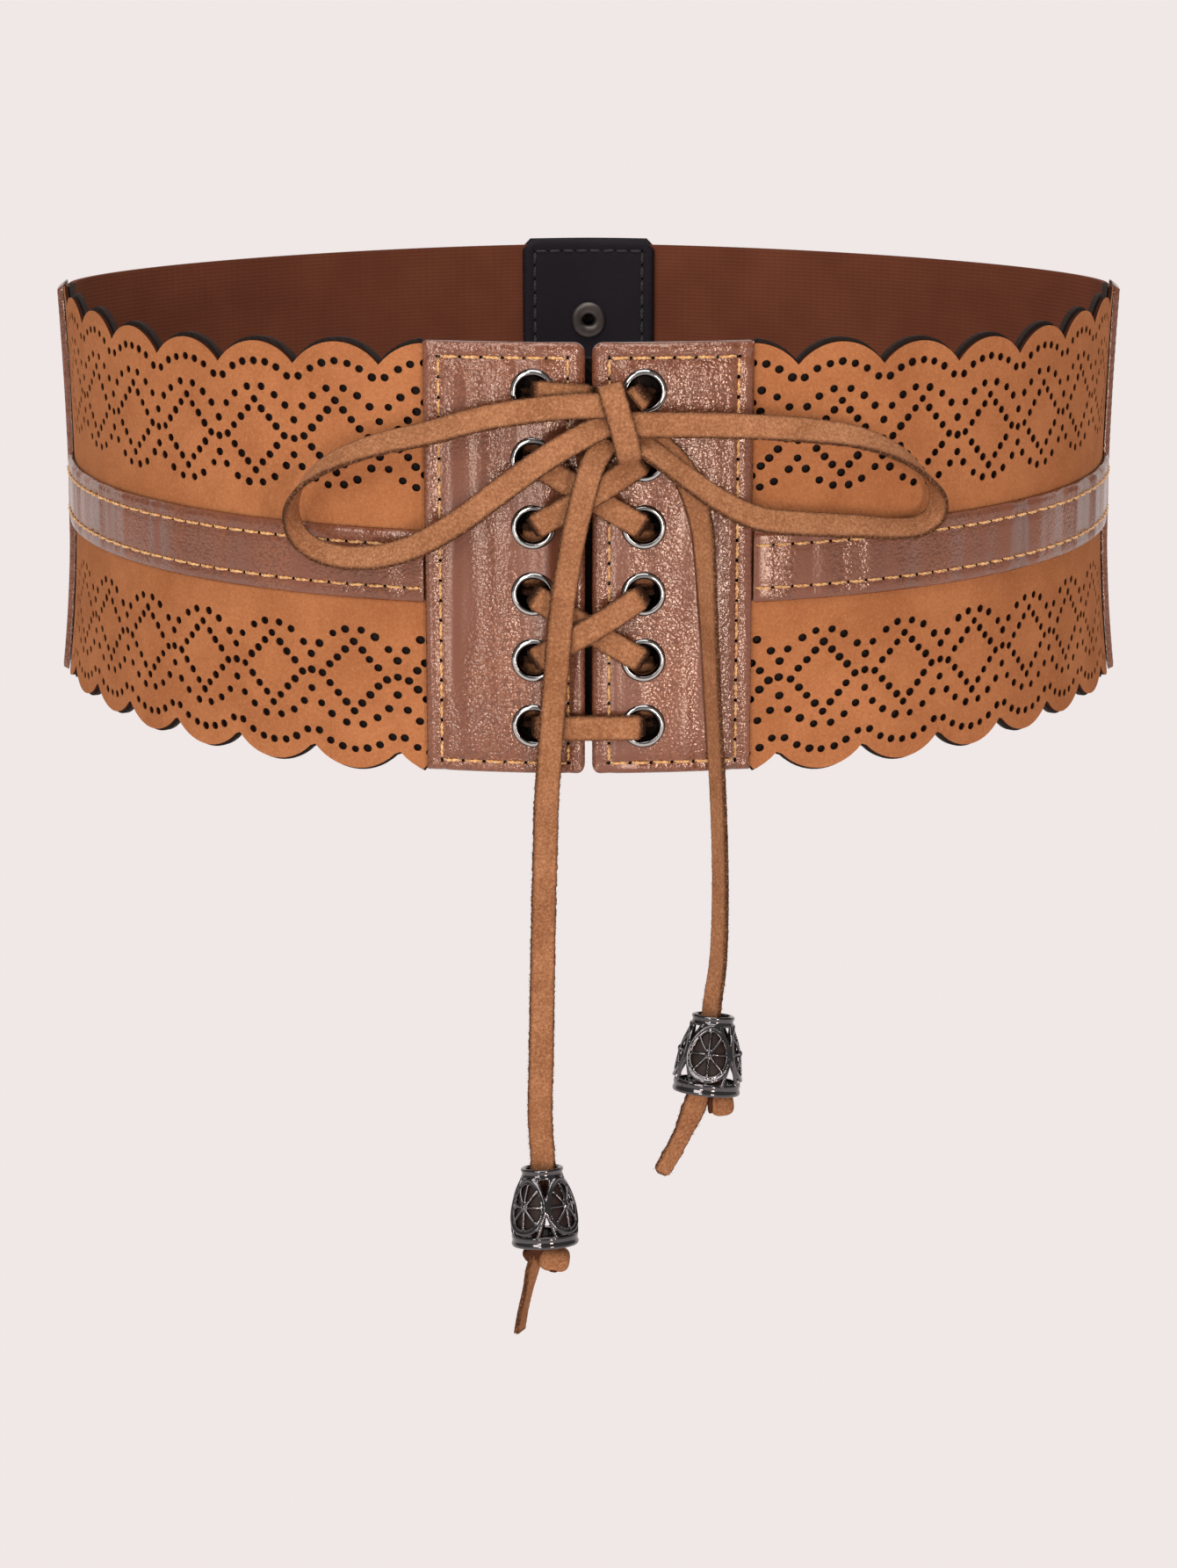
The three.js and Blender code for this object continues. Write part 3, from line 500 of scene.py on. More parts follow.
# %% [markdown]
# The bow comes first, because its loops and tails hang free and are real lengths of lace. Each loop
# leaves the knot, stands on its edge round the far end and comes back. Each tail comes out of the
# knot, hangs down over the front and ends at the foot of its bead. The left one turns aside inside
# its bead, so that one sees through the lower window between two wheels.
#
# A row holds four numbers: along, up, out, and the turn of the strip in degrees.

# %% Tie the loops and tails
LOOP_LEFT = [
    (6.0, 40.0, 8.0, 4), (2.4, 40.2, 8.2, 8), (-6.0, 39.8, 7.8, 14), (-15.0, 38.6, 7.6, 18),
    (-23.7, 36.9, 7.5, 22), (-37.4, 32.7, 7.3, 30), (-47.0, 30.2, 7.1, 36), (-56.0, 26.9, 6.9, 44),
    (-63.5, 23.0, 6.8, 56),
    (-69.0, 18.2, 6.7, 72), (-71.6, 12.2, 6.7, 90), (-70.4, 6.8, 6.7, 108), (-66.0, 3.2, 6.7, 124),
    (-59.0, 1.6, 6.6, 138), (-50.0, 2.2, 6.6, 148), (-41.3, 4.9, 6.6, 156), (-31.0, 11.0, 6.8, 163),
    (-20.5, 19.2, 7.0, 168), (-8.0, 28.8, 7.4, 174), (3.2, 35.2, 6.8, 176), (6.4, 36.6, 6.8, 178),
]
LOOP_RIGHT = [
    (8.0, 35.6, 7.8, 174), (11.8, 35.6, 8.0, 170), (26.2, 35.2, 7.6, 164), (40.7, 34.2, 7.4, 158),
    (55.9, 32.2, 7.1, 149), (63.3, 30.6, 7.0, 141), (70.2, 28.1, 6.9, 132), (77.0, 24.4, 6.8, 121),
    (82.6, 19.6, 6.8, 108),
    (86.2, 14.4, 6.8, 92), (85.6, 9.8, 6.8, 74), (81.2, 7.4, 6.8, 58), (73.5, 7.4, 6.8, 46),
    (65.4, 8.6, 6.8, 38), (51.8, 10.2, 6.9, 30), (39.5, 12.2, 7.3, 28), (31.0, 16.4, 8.0, 32),
    (22.6, 22.6, 8.4, 38), (14.6, 29.0, 7.6, 40), (10.6, 31.8, 7.0, 40),
]
BEAD_HEIGHT = 19.6
BEAD_TIP = math.radians(11)
BEADS = {
    "left": {"along": -11.2, "up": -151.8, "out": 6.8, "lean": -2.5},
    "right": {"along": 29.8, "up": -112.5, "out": 6.4, "lean": 5.5},
}


def bead_place(word, drop):
    """Wall place on a bead's axis, a distance below its top. The beads tip, foot to the front."""
    bead = BEADS[word]
    lean = math.radians(bead["lean"])
    along = bead["along"] - math.sin(lean) * drop
    up = bead["up"] - math.cos(lean) * math.cos(BEAD_TIP) * drop
    return along, up, bead["out"] + math.sin(BEAD_TIP) * (drop - BEAD_HEIGHT / 2)


def beside(place, step):
    """The wall place a step further along."""
    return (place[0] + step, *place[1:])


BELOW_FOOT = BEAD_HEIGHT + 0.5
TAIL_LEFT = [
    (4.6, 31.6, 4.5, 0), (1.9, 27.8, 6.2, -4), (0.0, 23.6, 8.5, -8), (-1.4, 18.0, 8.8, -12),
    (-3.0, 11.0, 8.6, -16), (-4.6, 2.0, 8.0, -18), (-6.1, -8.3, 8.4, -16), (-6.8, -16.0, 9.0, -15),
    (-7.4, -24.0, 9.0, -16), (-8.2, -33.0, 8.6, -17), (-9.0, -44.0, 7.8, -18), (-9.8, -56.0, 7.2, -17),
    (-10.4, -76.0, 6.9, -16), (-10.9, -98.6, 6.8, -14), (-11.3, -121.4, 6.8, -12), (-11.6, -138.0, 6.8, -6),
    (*bead_place("left", 0), 0), (*beside(bead_place("left", BELOW_FOOT), -2.2), 70),
]
TAIL_RIGHT = [
    (10.4, 33.5, 4.5, 0), (14.4, 31.6, 4.6, 2), (19.2, 27.4, 4.4, 4), (23.6, 21.0, 4.4, 14),
    (26.4, 10.6, 5.4, 42), (28.0, -10.8, 6.2, 62), (29.2, -32.6, 6.4, 68), (30.5, -54.6, 6.4, 69),
    (31.3, -76.9, 6.4, 69), (31.0, -98.0, 6.4, 66), (*bead_place("right", 0), 60),
    (*bead_place("right", BELOW_FOOT), 60),
]
FULL_WIDTH = (0.0, 0.0, 1.0)
IN_BEAD = (0.0, BEAD_HEIGHT, 0.7)
bow = {}
for piece_name, rows in (
    ("lace_loop_left", LOOP_LEFT),
    ("lace_loop_right", LOOP_RIGHT),
    ("lace_tail_left", TAIL_LEFT),
    ("lace_tail_right", TAIL_RIGHT),
):
    squeezed = IN_BEAD if "tail" in piece_name else FULL_WIDTH
    bow[piece_name] = lace(piece_name.replace("lace_", "bow_"), rows, [piece_name], squeezed=squeezed)
    route = bow[piece_name][1]
    print(piece_name, "is", round(float(np.linalg.norm(np.diff(route, axis=0), axis=1).sum()), 3), "m long")

# %% [markdown]
# The knot of the bow is one turn of the same lace, laid over the four strands that meet there, and
# pulled tight. A hidden lump below it stands for the strands that cross inside.

# %% Wrap the knot
KNOT_BAND = [
    (4.6, 43.7, 4.9, 0), (4.9, 44.5, 7.0, 0), (5.3, 43.4, 9.2, 0), (6.0, 41.0, 10.0, 0),
    (7.1, 37.2, 10.3, 0), (8.1, 33.2, 10.3, 0), (8.9, 29.8, 9.9, 0), (9.3, 28.0, 8.7, 0),
    (9.5, 27.3, 7.0, 0), (9.4, 27.8, 5.2, 0),
]
lace("bow_knot_band", KNOT_BAND, ["lace_knot"], run=(0.24, -1))


def knot_core():
    """A lump of oval sections down the middle of the knot: along, up and how thick it is there."""
    sections = [
        (5.3, 43.2, 2.2), (5.7, 42.0, 3.6), (7.0, 37.8, 4.8),
        (8.1, 33.2, 4.8), (8.9, 29.4, 3.6), (9.1, 28.4, 2.2),
    ]
    half_wide, out = 2.9, 7.2
    angle = np.linspace(0, 2 * math.pi, 16, endpoint=False)
    rings = [
        on_wall(along + half_wide * np.cos(angle), up, out + thick / 2 * np.sin(angle))
        for along, up, thick in sections
    ]
    faces = tube_faces(len(rings), len(angle))
    new_piece("bow_knot_core", np.vstack(rings), faces, LACE_FINISH, (), 60)


knot_core()
print("rows round the knot", len(KNOT_BAND))

# %% [markdown]
# The lacing runs through six rows of eyelets, counted from the top. A bar crosses in front through
# row six. Then the lace crosses as an X between rows five and four, and between three and two, and
# between the other rows it runs behind the leather. From row one both ends go up to the knot.

# %% Lace the front
EYELET_ROWS = 6
EYELET_PITCH = 16.3
EYELET_TOP = 42.7
EYELET_ALONG = 13.1
FRONT_DIP = [(0, 1.5), (0.2, 2.9), (1.3, 4.3), (3.6, 4.7)]
BACK_DIP = [(0, 1.1), (0.3, -0.7), (2, -2)]
IN_EYELET = (3.6, 3.6, 0.82)


def eyelet_place(side, row):
    return side * EYELET_ALONG, EYELET_TOP - (row - 1) * EYELET_PITCH


def strand(name, start, end, dip, lift=0.0, end_dip=None):
    """A strand from one eyelet to another. Its middle rises by lift where it passes over another."""
    length = math.dist(start, end)
    way = ((end[0] - start[0]) / length, (end[1] - start[1]) / length)
    crest = dip[-1][1] + lift
    over_edge = 6
    middle = [(length / 2 + step, crest) for step in ((-over_edge, over_edge) if lift else (0,))]
    last = dip if end_dip is None else end_dip
    stations = dip + middle + [(length - run, out) for run, out in reversed(last)]
    rows = [(start[0] + way[0] * run, start[1] + way[1] * run, out, 0) for run, out in stations]
    lace(name.replace("lace_", "lacing_"), rows, [name], run=way, squeezed=IN_EYELET)


PASS_OVER = 1.7
strand("lace_front_bar", eyelet_place(-1, 6), eyelet_place(1, 6), FRONT_DIP)
for level, upper, lower in (("low", 4, 5), ("high", 2, 3)):
    strand(f"lace_cross_{level}_over", eyelet_place(1, upper), eyelet_place(-1, lower), FRONT_DIP, PASS_OVER)
    strand(f"lace_cross_{level}_under", eyelet_place(-1, upper), eyelet_place(1, lower), FRONT_DIP)
KNOT_ENTRY = {"left": (3.2, 41.4), "right": (9.2, 39.6)}
for side, word in SIDES:
    for number, row in enumerate((6, 4, 2), 1):
        strand(f"lace_behind_{word}_{number}", eyelet_place(side, row), eyelet_place(side, row - 1), BACK_DIP)
    strand(f"lace_to_knot_{word}", eyelet_place(side, 1), KNOT_ENTRY[word], FRONT_DIP, 0, [(0, 4.5)])
print("eyelets laced", 2 * EYELET_ROWS)

# %% [markdown]
# Suede for the side panels is the same kind of leather, dyed a warmer tan. The nap lies in soft
# clouds, and single fibres make fine dark and light specks. The cut walls of the punched holes and
# edges are painted dark, as the shade that falls into them. The meshes carry a number called depth
# for that, nought on the face of a sheet and one on its back, so a wall darkens within the first
# third of its depth.

# %% The panels' suede


def panel_suede():
    suede = Finish("panel_suede", Roughness=0.95, Specular_IOR_Level=0.05)
    cloud = suede.span(suede.noise(60, 4, 0.6), 0.35, 0.65)
    speck = suede.noise(1500, 4, 0.75)
    colour = suede.blend(cloud, srgb(164, 102, 64), srgb(180, 116, 75))
    colour = suede.blend(suede.span(speck, 0.5, 0.68, 0, 0.45), colour, srgb(136, 79, 48))
    colour = suede.blend(suede.span(speck, 0.32, 0.46, 0.4, 0), colour, srgb(202, 140, 96))
    # Painted shade on the cut walls of holes and edges, darker with depth into the sheet.
    colour = suede.blend(suede.span(suede.attribute("depth"), 0.02, 0.3), colour, srgb(52, 28, 20))
    nap = suede.bump(suede.noise(1500, 4, 0.8), 0.0003, 0.6)
    soft = suede.bump(suede.noise(160, 3), 0.0006, 0.25, nap)
    return suede.wear(Base_Color=colour, Normal=soft)


PANEL_SUEDE = panel_suede()

# %% [markdown]
# Punched work is easiest on the flat. The outline and every hole are drawn as closed lines, the area
# between them is filled with triangles, and only then is the sheet bent round the waist and given its
# thickness. The fill is a constrained Delaunay triangulation, which never crosses a given line. Extra
# points between the lines keep the triangles small, so that the bend is smooth.

# %% Cut a sheet and bend it
def circle(centre, radius, sides, squeeze=1.0, start=0.0):
    angle = start + np.linspace(0, 2 * math.pi, sides, endpoint=False)
    return np.column_stack([centre[0] + radius * np.cos(angle), centre[1] + radius * squeeze * np.sin(angle)])


def fill_points(outline, holes, spacing, margin):
    """A staggered grid of points inside the outline, clear of every line."""
    low, high = outline.min(0), outline.max(0)
    columns = np.arange(low[0] + spacing / 2, high[0], spacing)
    rows = np.arange(low[1] + spacing / 2, high[1], spacing)
    grid = np.array([(x + (j % 2) * spacing / 2, y) for j, y in enumerate(rows) for x in columns])
    edge_points = np.vstack([outline, *holes])
    keep = np.ones(len(grid), bool)
    for block in np.array_split(np.arange(len(grid)), max(1, len(grid) // 400)):
        gap = np.linalg.norm(grid[block][:, None] - edge_points[None], axis=-1).min(1)
        keep[block] = gap > margin
    for hole in holes:
        middle = hole.mean(0)
        keep &= np.linalg.norm(grid - middle, axis=1) > np.linalg.norm(hole - middle, axis=1).max()
    return grid[keep]


def counter_clockwise(line):
    """The same closed line, walked with its inside on the left."""
    following = np.roll(line, -1, 0)
    area = np.sum(line[:, 0] * following[:, 1] - following[:, 0] * line[:, 1])
    return line if area > 0 else line[::-1]


def cut_sheet(
    name, outline, holes, spacing, outer, inner, finish, nodes=(), sharp=35, margin=None, blind=()
):
    """A bent sheet with holes. outer and inner give its faces at flat places, as distances out. The
    blind holes don't go through: they are closed again at the sheet's back."""
    outline = counter_clockwise(np.asarray(outline, float))
    holes = [*holes, *blind]
    extra = fill_points(outline, holes, spacing, margin or spacing * 0.45)
    loops, start = [], 0
    for line in [outline, *holes]:
        loops.append(list(range(start, start + len(line))))
        start += len(line)
    flat = np.vstack([outline, *holes, extra])
    places, _, faces, _, _, origins = delaunay_2d_cdt([Vector(p) for p in flat], [], loops, 1, 1e-5)
    kept = [f for f, origin in zip(faces, origins) if list(origin) == [0]]
    flat = np.array([tuple(p) for p in places])
    borders = {}
    for face in kept:
        for a, b in zip(face, list(face[1:]) + [face[0]]):
            if (b, a) in borders:
                del borders[(b, a)]
            else:
                borders[(a, b)] = True
    count = len(flat)
    along, up = flat.T
    points = np.vstack([on_wall(along, up, outer(along, up)), on_wall(along, up, inner(along, up))])
    faces = [tuple(f) for f in kept] + [tuple(i + count for i in reversed(f)) for f in kept]
    faces += [(b, a, a + count, b + count) for a, b in borders]
    for line in blind:
        faces.append(tuple(int(np.argmin(np.linalg.norm(flat - place, axis=1))) + count for place in line))
    used = np.unique(np.concatenate([np.asarray(f) for f in faces]))
    renumber = np.zeros(len(points), int)
    renumber[used] = np.arange(len(used))
    faces = [tuple(renumber[list(f)]) for f in faces]
    piece = new_piece(name, points[used], faces, finish, nodes, sharp)
    wall = piece.data.attributes.new("wall", "FLOAT_VECTOR", "POINT")
    flat_places = np.column_stack([np.tile(along, 2), np.tile(up, 2), np.zeros(2 * count)])[used] * MM
    wall.data.foreach_set("vector", flat_places.ravel().astype(np.float32))
    depth = piece.data.attributes.new("depth", "FLOAT", "POINT")
    depth.data.foreach_set("value", np.repeat([0.0, 1.0], count)[used].astype(np.float32))
    print(name, "has", len(holes), "holes and", len(faces), "faces")
    return piece


def level(distance):
    """A face at one distance out, all over."""
    return lambda along, up: np.full(np.shape(along), distance)


# %% [markdown]
# The panels' upper and lower edges are scallops: round tips 23 mm apart. The holes repeat with
# them. One repeat is charted below for the right half of a lower scallop, as places from the middle
# of the tip: how far along, and how far up from the line of the tips. A chart is the natural form for
# such a pattern, since it was drawn by hand on the real belt too. The same chart is mirrored for the
# left half, and turned upside down for the upper edge.

# %% Chart the punched pattern
SCALLOP_PITCH = 23.3
SCALLOP_DEPTH = 5.5
TOP_VALLEY = 51.2
LOW_VALLEY = TOP_VALLEY - SCALLOP_PITCH / 6
SCALLOP_RADIUS = ((SCALLOP_PITCH / 2) ** 2 + SCALLOP_DEPTH**2) / (2 * SCALLOP_DEPTH)
HALF = SCALLOP_PITCH / 2
HOLE_CHART = {
    "arc along the edge": [(0.0, 4.8), (3.4, 5.2), (6.7, 6.4), (10.0, 8.5)],
    "bowl": [(2.3, 11.3), (6.1, 13.1), (9.2, 15.6), (HALF, 19.2)],
    "lower half of the diamond": [(0.0, 14.3), (2.1, 16.5), (4.3, 18.7), (6.5, 20.9), (8.8, 23.1)],
    "crossing": [(HALF, 23.7)],
    "upper half of the diamond": [(6.6, 25.7), (4.4, 27.7), (2.3, 29.8), (0.0, 31.9)],
    "dome": [(2.2, 34.8), (5.7, 33.4), (9.4, 30.6), (HALF, 27.8)],
}
HOLE_WIDE = 2.3
HOLE_HIGH = 2.0


def scallop_drop(along, valley):
    """How far the edge lies inside the line of the tips."""
    turns = (np.abs(along) - valley) / SCALLOP_PITCH
    from_tip = (turns - np.floor(turns) - 0.5) * SCALLOP_PITCH
    return SCALLOP_RADIUS - np.sqrt(SCALLOP_RADIUS**2 - from_tip**2)


def one_repeat():
    """Every hole of one repeat, both halves. Holes on the line between two repeats count once."""
    holes = []
    for rows in HOLE_CHART.values():
        for along, up in rows:
            holes.append((along, up))
            if 0 < along < HALF:
                holes.append((-along, up))
    return holes


print("holes in one repeat", len(one_repeat()))

# %% [markdown]
# Now the panels are cut. The edge is walked in small steps so that the tips stay round, and each hole
# gets a slightly different size and turn, as punched suede has. The holes go right through, and the
# dark cloth behind shows in them. The upper edge sags a little between the front panel and the side,
# and its holes follow it.

# %% Punch the suede panels
PANEL_EDGE = 39.6
SUEDE_START = 30.0
SUEDE_END = 208.0
TRIM_START = 204.0
SAG = {"middle": 115, "reach": 45, "depth": 2.9}
PUNCH_DRIFT = 0.07
BACKING_MARGIN = {"low": 0.7, "top": 1.0}
panel_low, panel_high = (corner.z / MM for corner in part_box("front_panel_left"))
SUEDE_OUTER, SUEDE_INNER = 0.0, -1.2
BACKING_OUTER, BACKING_INNER = -1.5, -2.7


def sag(distance):
    return SAG["depth"] * np.exp(-(((distance - SAG["middle"]) / SAG["reach"]) ** 2))


def scalloped_outline(side, low, high):
    """Closed outline of a scalloped panel. Under the front panel its edges are cut back."""
    tuck = 1.0
    steps = np.arange(PANEL_EDGE - 0.02, SUEDE_END, SCALLOP_PITCH / 16)
    distance = np.concatenate([[SUEDE_START], steps, [SUEDE_END]])
    bottom = low + scallop_drop(distance, LOW_VALLEY)
    top = high - sag(distance) - scallop_drop(distance, TOP_VALLEY)
    under = distance < PANEL_EDGE
    bottom[under] = np.maximum(bottom[under], panel_low + tuck)
    top[under] = np.minimum(top[under], panel_high - tuck)
    lower = np.column_stack([side * distance, bottom])
    upper = np.column_stack([side * distance, top])
    return np.vstack([lower, upper[::-1]])


def punched_holes(side):
    """Every hole of one panel: the chart repeated along both edges, a little unevenly."""
    holes = []
    first_hole, last_hole = PANEL_EDGE - 1.5, TRIM_START + 1.5
    for valley, way in ((LOW_VALLEY, 1), (TOP_VALLEY, -1)):
        for repeat in range(-2, 9):
            tip = valley + (repeat + 0.5) * SCALLOP_PITCH
            for along, up in one_repeat():
                distance = tip + along
                if first_hole < distance < last_hole:
                    base = BELT_LOW if way > 0 else BELT_TOP - sag(distance)
                    punched_along = distance + rng.normal(0, PUNCH_DRIFT)
                    punched_up = up + rng.normal(0, PUNCH_DRIFT)
                    centre = (side * punched_along, base + way * punched_up)
                    size = HOLE_WIDE / 2 * rng.normal(1, 0.04)
                    holes.append(circle(centre, size, 10, HOLE_HIGH / HOLE_WIDE, rng.uniform(0, 0.6)))
    return holes


for side, word in SIDES:
    panel = cut_sheet(
        "suede_" + word, scalloped_outline(side, BELT_LOW, BELT_TOP), punched_holes(side), 2.6,
        level(SUEDE_OUTER), level(SUEDE_INNER), PANEL_SUEDE, ["suede_panel_" + word], margin=0.5,
    )

# %% [markdown]
# Behind the suede lies a plain black cloth. It shows through every hole, as a thin dark line above the
# upper scallops, and on the inside of the belt. It is cut with the same scallops, a little larger.

# %% Back the panels with dark cloth


def dark_cloth():
    cloth = Finish("dark_cloth", Roughness=0.85, Specular_IOR_Level=0.2)
    place = cloth.attribute("wall", "Vector")
    weave = cloth.waves("DIAGONAL", place, 260.0, 0.6)
    colour = cloth.blend(cloth.noise(500, 3), srgb(26, 19, 17), srgb(46, 35, 31))
    return cloth.wear(Base_Color=colour, Normal=cloth.bump(weave, 0.0002, 0.5))


DARK_CLOTH = dark_cloth()
for side, word in SIDES:
    outline = scalloped_outline(side, BELT_LOW - BACKING_MARGIN["low"], BELT_TOP + BACKING_MARGIN["top"])
    backing = cut_sheet(
        "backing_" + word, outline, [], 2.6, level(BACKING_OUTER), level(BACKING_INNER),
        DARK_CLOTH, ["suede_backing_" + word],
    )


# %% [markdown]
# The front panels, strips and trims are soft imitation leather with a glossy coat. Three bumps lie
# over one another: slow upright folds, fine level wrinkles, and pebbles a little under a millimetre
# across with creases between them. The creases are also coloured darker, as painted shade. The bumps
# break the reflected lights into many small glints. All of them are very shallow, because a glossy
# coat turns even a small slope into a bright or dark fleck. In upright bands the leather was pressed
# flat. There the grain is shallower, and the colour a little darker and duller. One more tall and
# slow noise says where those bands lie.

# %% The leather


def soft_leather():
    leather = Finish("soft_leather", Roughness=0.26, Specular_IOR_Level=1.0)
    leather.shader.inputs["Specular Tint"].default_value = srgb(255, 232, 220)
    cloud = leather.span(leather.noise(45, 3), 0.35, 0.65)
    folds = leather.noise(70, 2, 0.4, stretch=(1, 1, 0.15))
    wrinkles = leather.noise(1700, 2, 0.5, stretch=(0.4, 0.4, 1.0))
    creases = leather.cells(1250, place=leather.wobble(0.0004))
    pebbles = leather.span(creases, 0, 0.8, 1, 0)
    grained = leather.span(leather.noise(110, 3, 0.5, stretch=(1, 1, 0.16)), 0.36, 0.52)
    colour = leather.blend(cloud, srgb(116, 68, 48), srgb(134, 81, 58))
    # Painted shade: the creases between the pebbles are coloured darker.
    colour = leather.blend(leather.span(creases, 0.4, 0.75, 0, 0.5), colour, srgb(76, 38, 27))
    colour = leather.blend(grained, srgb(116, 66, 47), colour)
    # Painted shade on the cut walls of eyelet holes, edges and needle holes, darker with depth into the
    # sheet.
    colour = leather.blend(leather.span(leather.attribute("depth"), 0.02, 0.4), colour, srgb(48, 24, 16))
    rough = leather.span(grained, 0, 1, 0.3, 0.18)
    depth = leather.span(grained, 0, 1, 0.3, 1)
    rolling = leather.bump(folds, 0.005)
    wrinkled = leather.bump(leather.sums("MULTIPLY", wrinkles, depth), 0.00014, after=rolling)
    pebbled = leather.bump(leather.sums("MULTIPLY", pebbles, depth), 0.0001, after=wrinkled)
    return leather.wear(Base_Color=colour, Roughness=rough, Normal=pebbled)


LEATHER = soft_leather()

# %% [markdown]
# Thread is two plies twisted together. Each stitch is modelled: two thin tubes wind round each other
# between two needle holes and dive into the leather at both ends. A row of stitches is one mesh. The
# pull of the thread draws each needle hole out along the seam, so the holes are ovals.

# %% Sew a row of stitches
PLY = 0.22
NEEDLE_LONG, NEEDLE_WIDE = 1.5, 0.8
STITCH_INSET = 0.2


def thread_finish(name, light, dark):
    thread = Finish(name, Roughness=0.45, Sheen_Weight=0.3, Specular_IOR_Level=0.4)
    colour = thread.blend(thread.span(thread.noise(1500, 2), 0.35, 0.65), light, dark)
    return thread.wear(Base_Color=colour, Normal=thread.bump(thread.noise(4000, 2), 0.0001, 0.5))


GOLD_THREAD = thread_finish("gold_thread", srgb(240, 192, 128), srgb(186, 124, 64))


def sewn_places(corners, pitch):
    """Needle holes along a line of corners, with one at every corner."""
    places = [np.asarray(corners[0], float)]
    for start, end in zip(corners, corners[1:]):
        start, end = np.asarray(start, float), np.asarray(end, float)
        count = max(1, round(np.linalg.norm(end - start) / pitch))
        places += [start + (end - start) * i / count for i in range(1, count + 1)]
    return np.array(places)


def stitch_row(name, needle_holes, surface, thread, rise=0.3):
    """Stitches between needle holes. surface gives the leather's face at flat places."""
    points, faces = [], []
    steps, around = 9, 6
    share = np.linspace(0, 1, steps)
    angle = np.linspace(0, 2 * math.pi, around, endpoint=False)
    for start, end in zip(needle_holes, needle_holes[1:]):
        inset = (end - start) * STITCH_INSET / 2
        first, last = start + inset, end - inset
        lean = rng.normal(0, 0.12)
        path = first + (last - first) * share[:, None]
        path[:, 1] += lean * (share - 0.5)
        sink = math.copysign(0.45, rise)
        height = surface(path[:, 0], path[:, 1]) - sink + (rise + sink) * np.sin(math.pi * share) ** 0.45
        middle = on_wall(path[:, 0], path[:, 1], height)
        forward = unit(np.gradient(middle, axis=0))
        away = outward(path[:, 0])
        cross = unit(np.cross(away, forward))
        away = np.cross(forward, cross)
        for ply in (0, math.pi):
            twist = (share * 3 * math.pi + ply)[:, None]
            centre = middle + (cross * np.cos(twist) + away * np.sin(twist)) * PLY * 0.85 * MM
            offset = len(points) * around
            points += list(rings_round(centre, cross, away, angle, PLY * MM))
            faces += [tuple(i + offset for i in face) for face in tube_faces(steps, around)]
    return new_piece(name, np.vstack(points), faces, thread, (), 60)


def needle_cuts(places, shrink=1.0):
    """Oval holes, long in the direction of the seam."""
    cuts = []
    for place, following in zip(places, np.roll(places, -1, 0)):
        upright = abs(following[1] - place[1]) > abs(following[0] - place[0])
        oval = circle((0, 0), NEEDLE_LONG / 2 * shrink, 8, NEEDLE_WIDE / NEEDLE_LONG)
        cuts.append(counter_clockwise(place + (oval[:, ::-1] if upright else oval)))
    return cuts


# %% [markdown]
# Each front panel is a padded leather piece. Its edges are folded, so they are round. The stitches
# pull it down along a frame near its edges, and between them it stands up in soft upright ridges.
# All of that is one height field over the flat panel: how far the face stands out at each place.

# %% Pad and sew the front panels
GAP_HALF = 0.85
PANEL_INNER, PANEL_OUTER = 0.3, 2.1
EYELET_HOLE = 4.7
SEAM = {"gap": 4.9, "side": 35.6, "top": 50.6, "low": -48.2}
STITCH_PITCH = 4.9
RIDGE_PITCH = 8.6


def rounded_edge(depth, radius):
    """How much lower a folded edge lies, by the distance in from it."""
    inside = np.clip(1 - depth / radius, 0, 1)
    return 1 - np.sqrt(np.clip(1 - inside**2, 0, 1))


def panel_face(along, up):
    """How far the padded face stands out: lower at its edges and seams, swelling in soft ridges."""
    distance = np.abs(along)
    depth = np.minimum.reduce([distance - GAP_HALF, PANEL_EDGE - distance, panel_high - up, up - panel_low])
    to_seam = np.minimum.reduce([
        np.abs(distance - SEAM["gap"]), np.abs(distance - SEAM["side"]),
        np.abs(up - SEAM["top"]), np.abs(up - SEAM["low"]),
    ])
    outside = (distance < SEAM["gap"]) | (distance > SEAM["side"]) | (up > SEAM["top"]) | (up < SEAM["low"])
    groove = 0.38 * np.exp(-((to_seam / 1.1) ** 2))
    swell = np.where(outside, 0.1, 0.5 * (1 - np.exp(-((to_seam / 4.5) ** 2))))
    drift = 0.8 * np.sin(up / 19 + along * 0.05) + 0.5 * np.sin(up / 8.5 + 1.3)
    fade = np.where(outside, 0, np.clip(to_seam / 3, 0, 1))
    ridges = 0.16 * np.sin((distance + drift) * 2 * math.pi / RIDGE_PITCH) * fade
    return PANEL_OUTER + 0.15 - 1.2 * rounded_edge(depth, 1.7) - groove + swell + ridges


def panel_outline(side):
    """Panel with rounder corners at the lacing gap."""
    near, far = 2.6, 1.0
    corners = [
        (GAP_HALF + near, panel_low + near, near, math.pi, 1.5 * math.pi),
        (PANEL_EDGE - far, panel_low + far, far, 1.5 * math.pi, 2 * math.pi),
        (PANEL_EDGE - far, panel_high - far, far, 0, 0.5 * math.pi),
        (GAP_HALF + near, panel_high - near, near, 0.5 * math.pi, math.pi),
    ]
    arcs = []
    for x, z, radius, begin, finish in corners:
        angle = np.linspace(begin, finish, 7)
        arcs.append(np.column_stack([x + radius * np.cos(angle), z + radius * np.sin(angle)]))
    outline = []
    for arc, following in zip(arcs, arcs[1:] + arcs[:1]):
        outline += list(arc)
        gap = following[0] - arc[-1]
        count = max(1, round(np.linalg.norm(gap) / 1.6))
        outline += [arc[-1] + gap * i / count for i in range(1, count)]
    outline = np.array(outline)
    outline[:, 0] *= side
    return outline


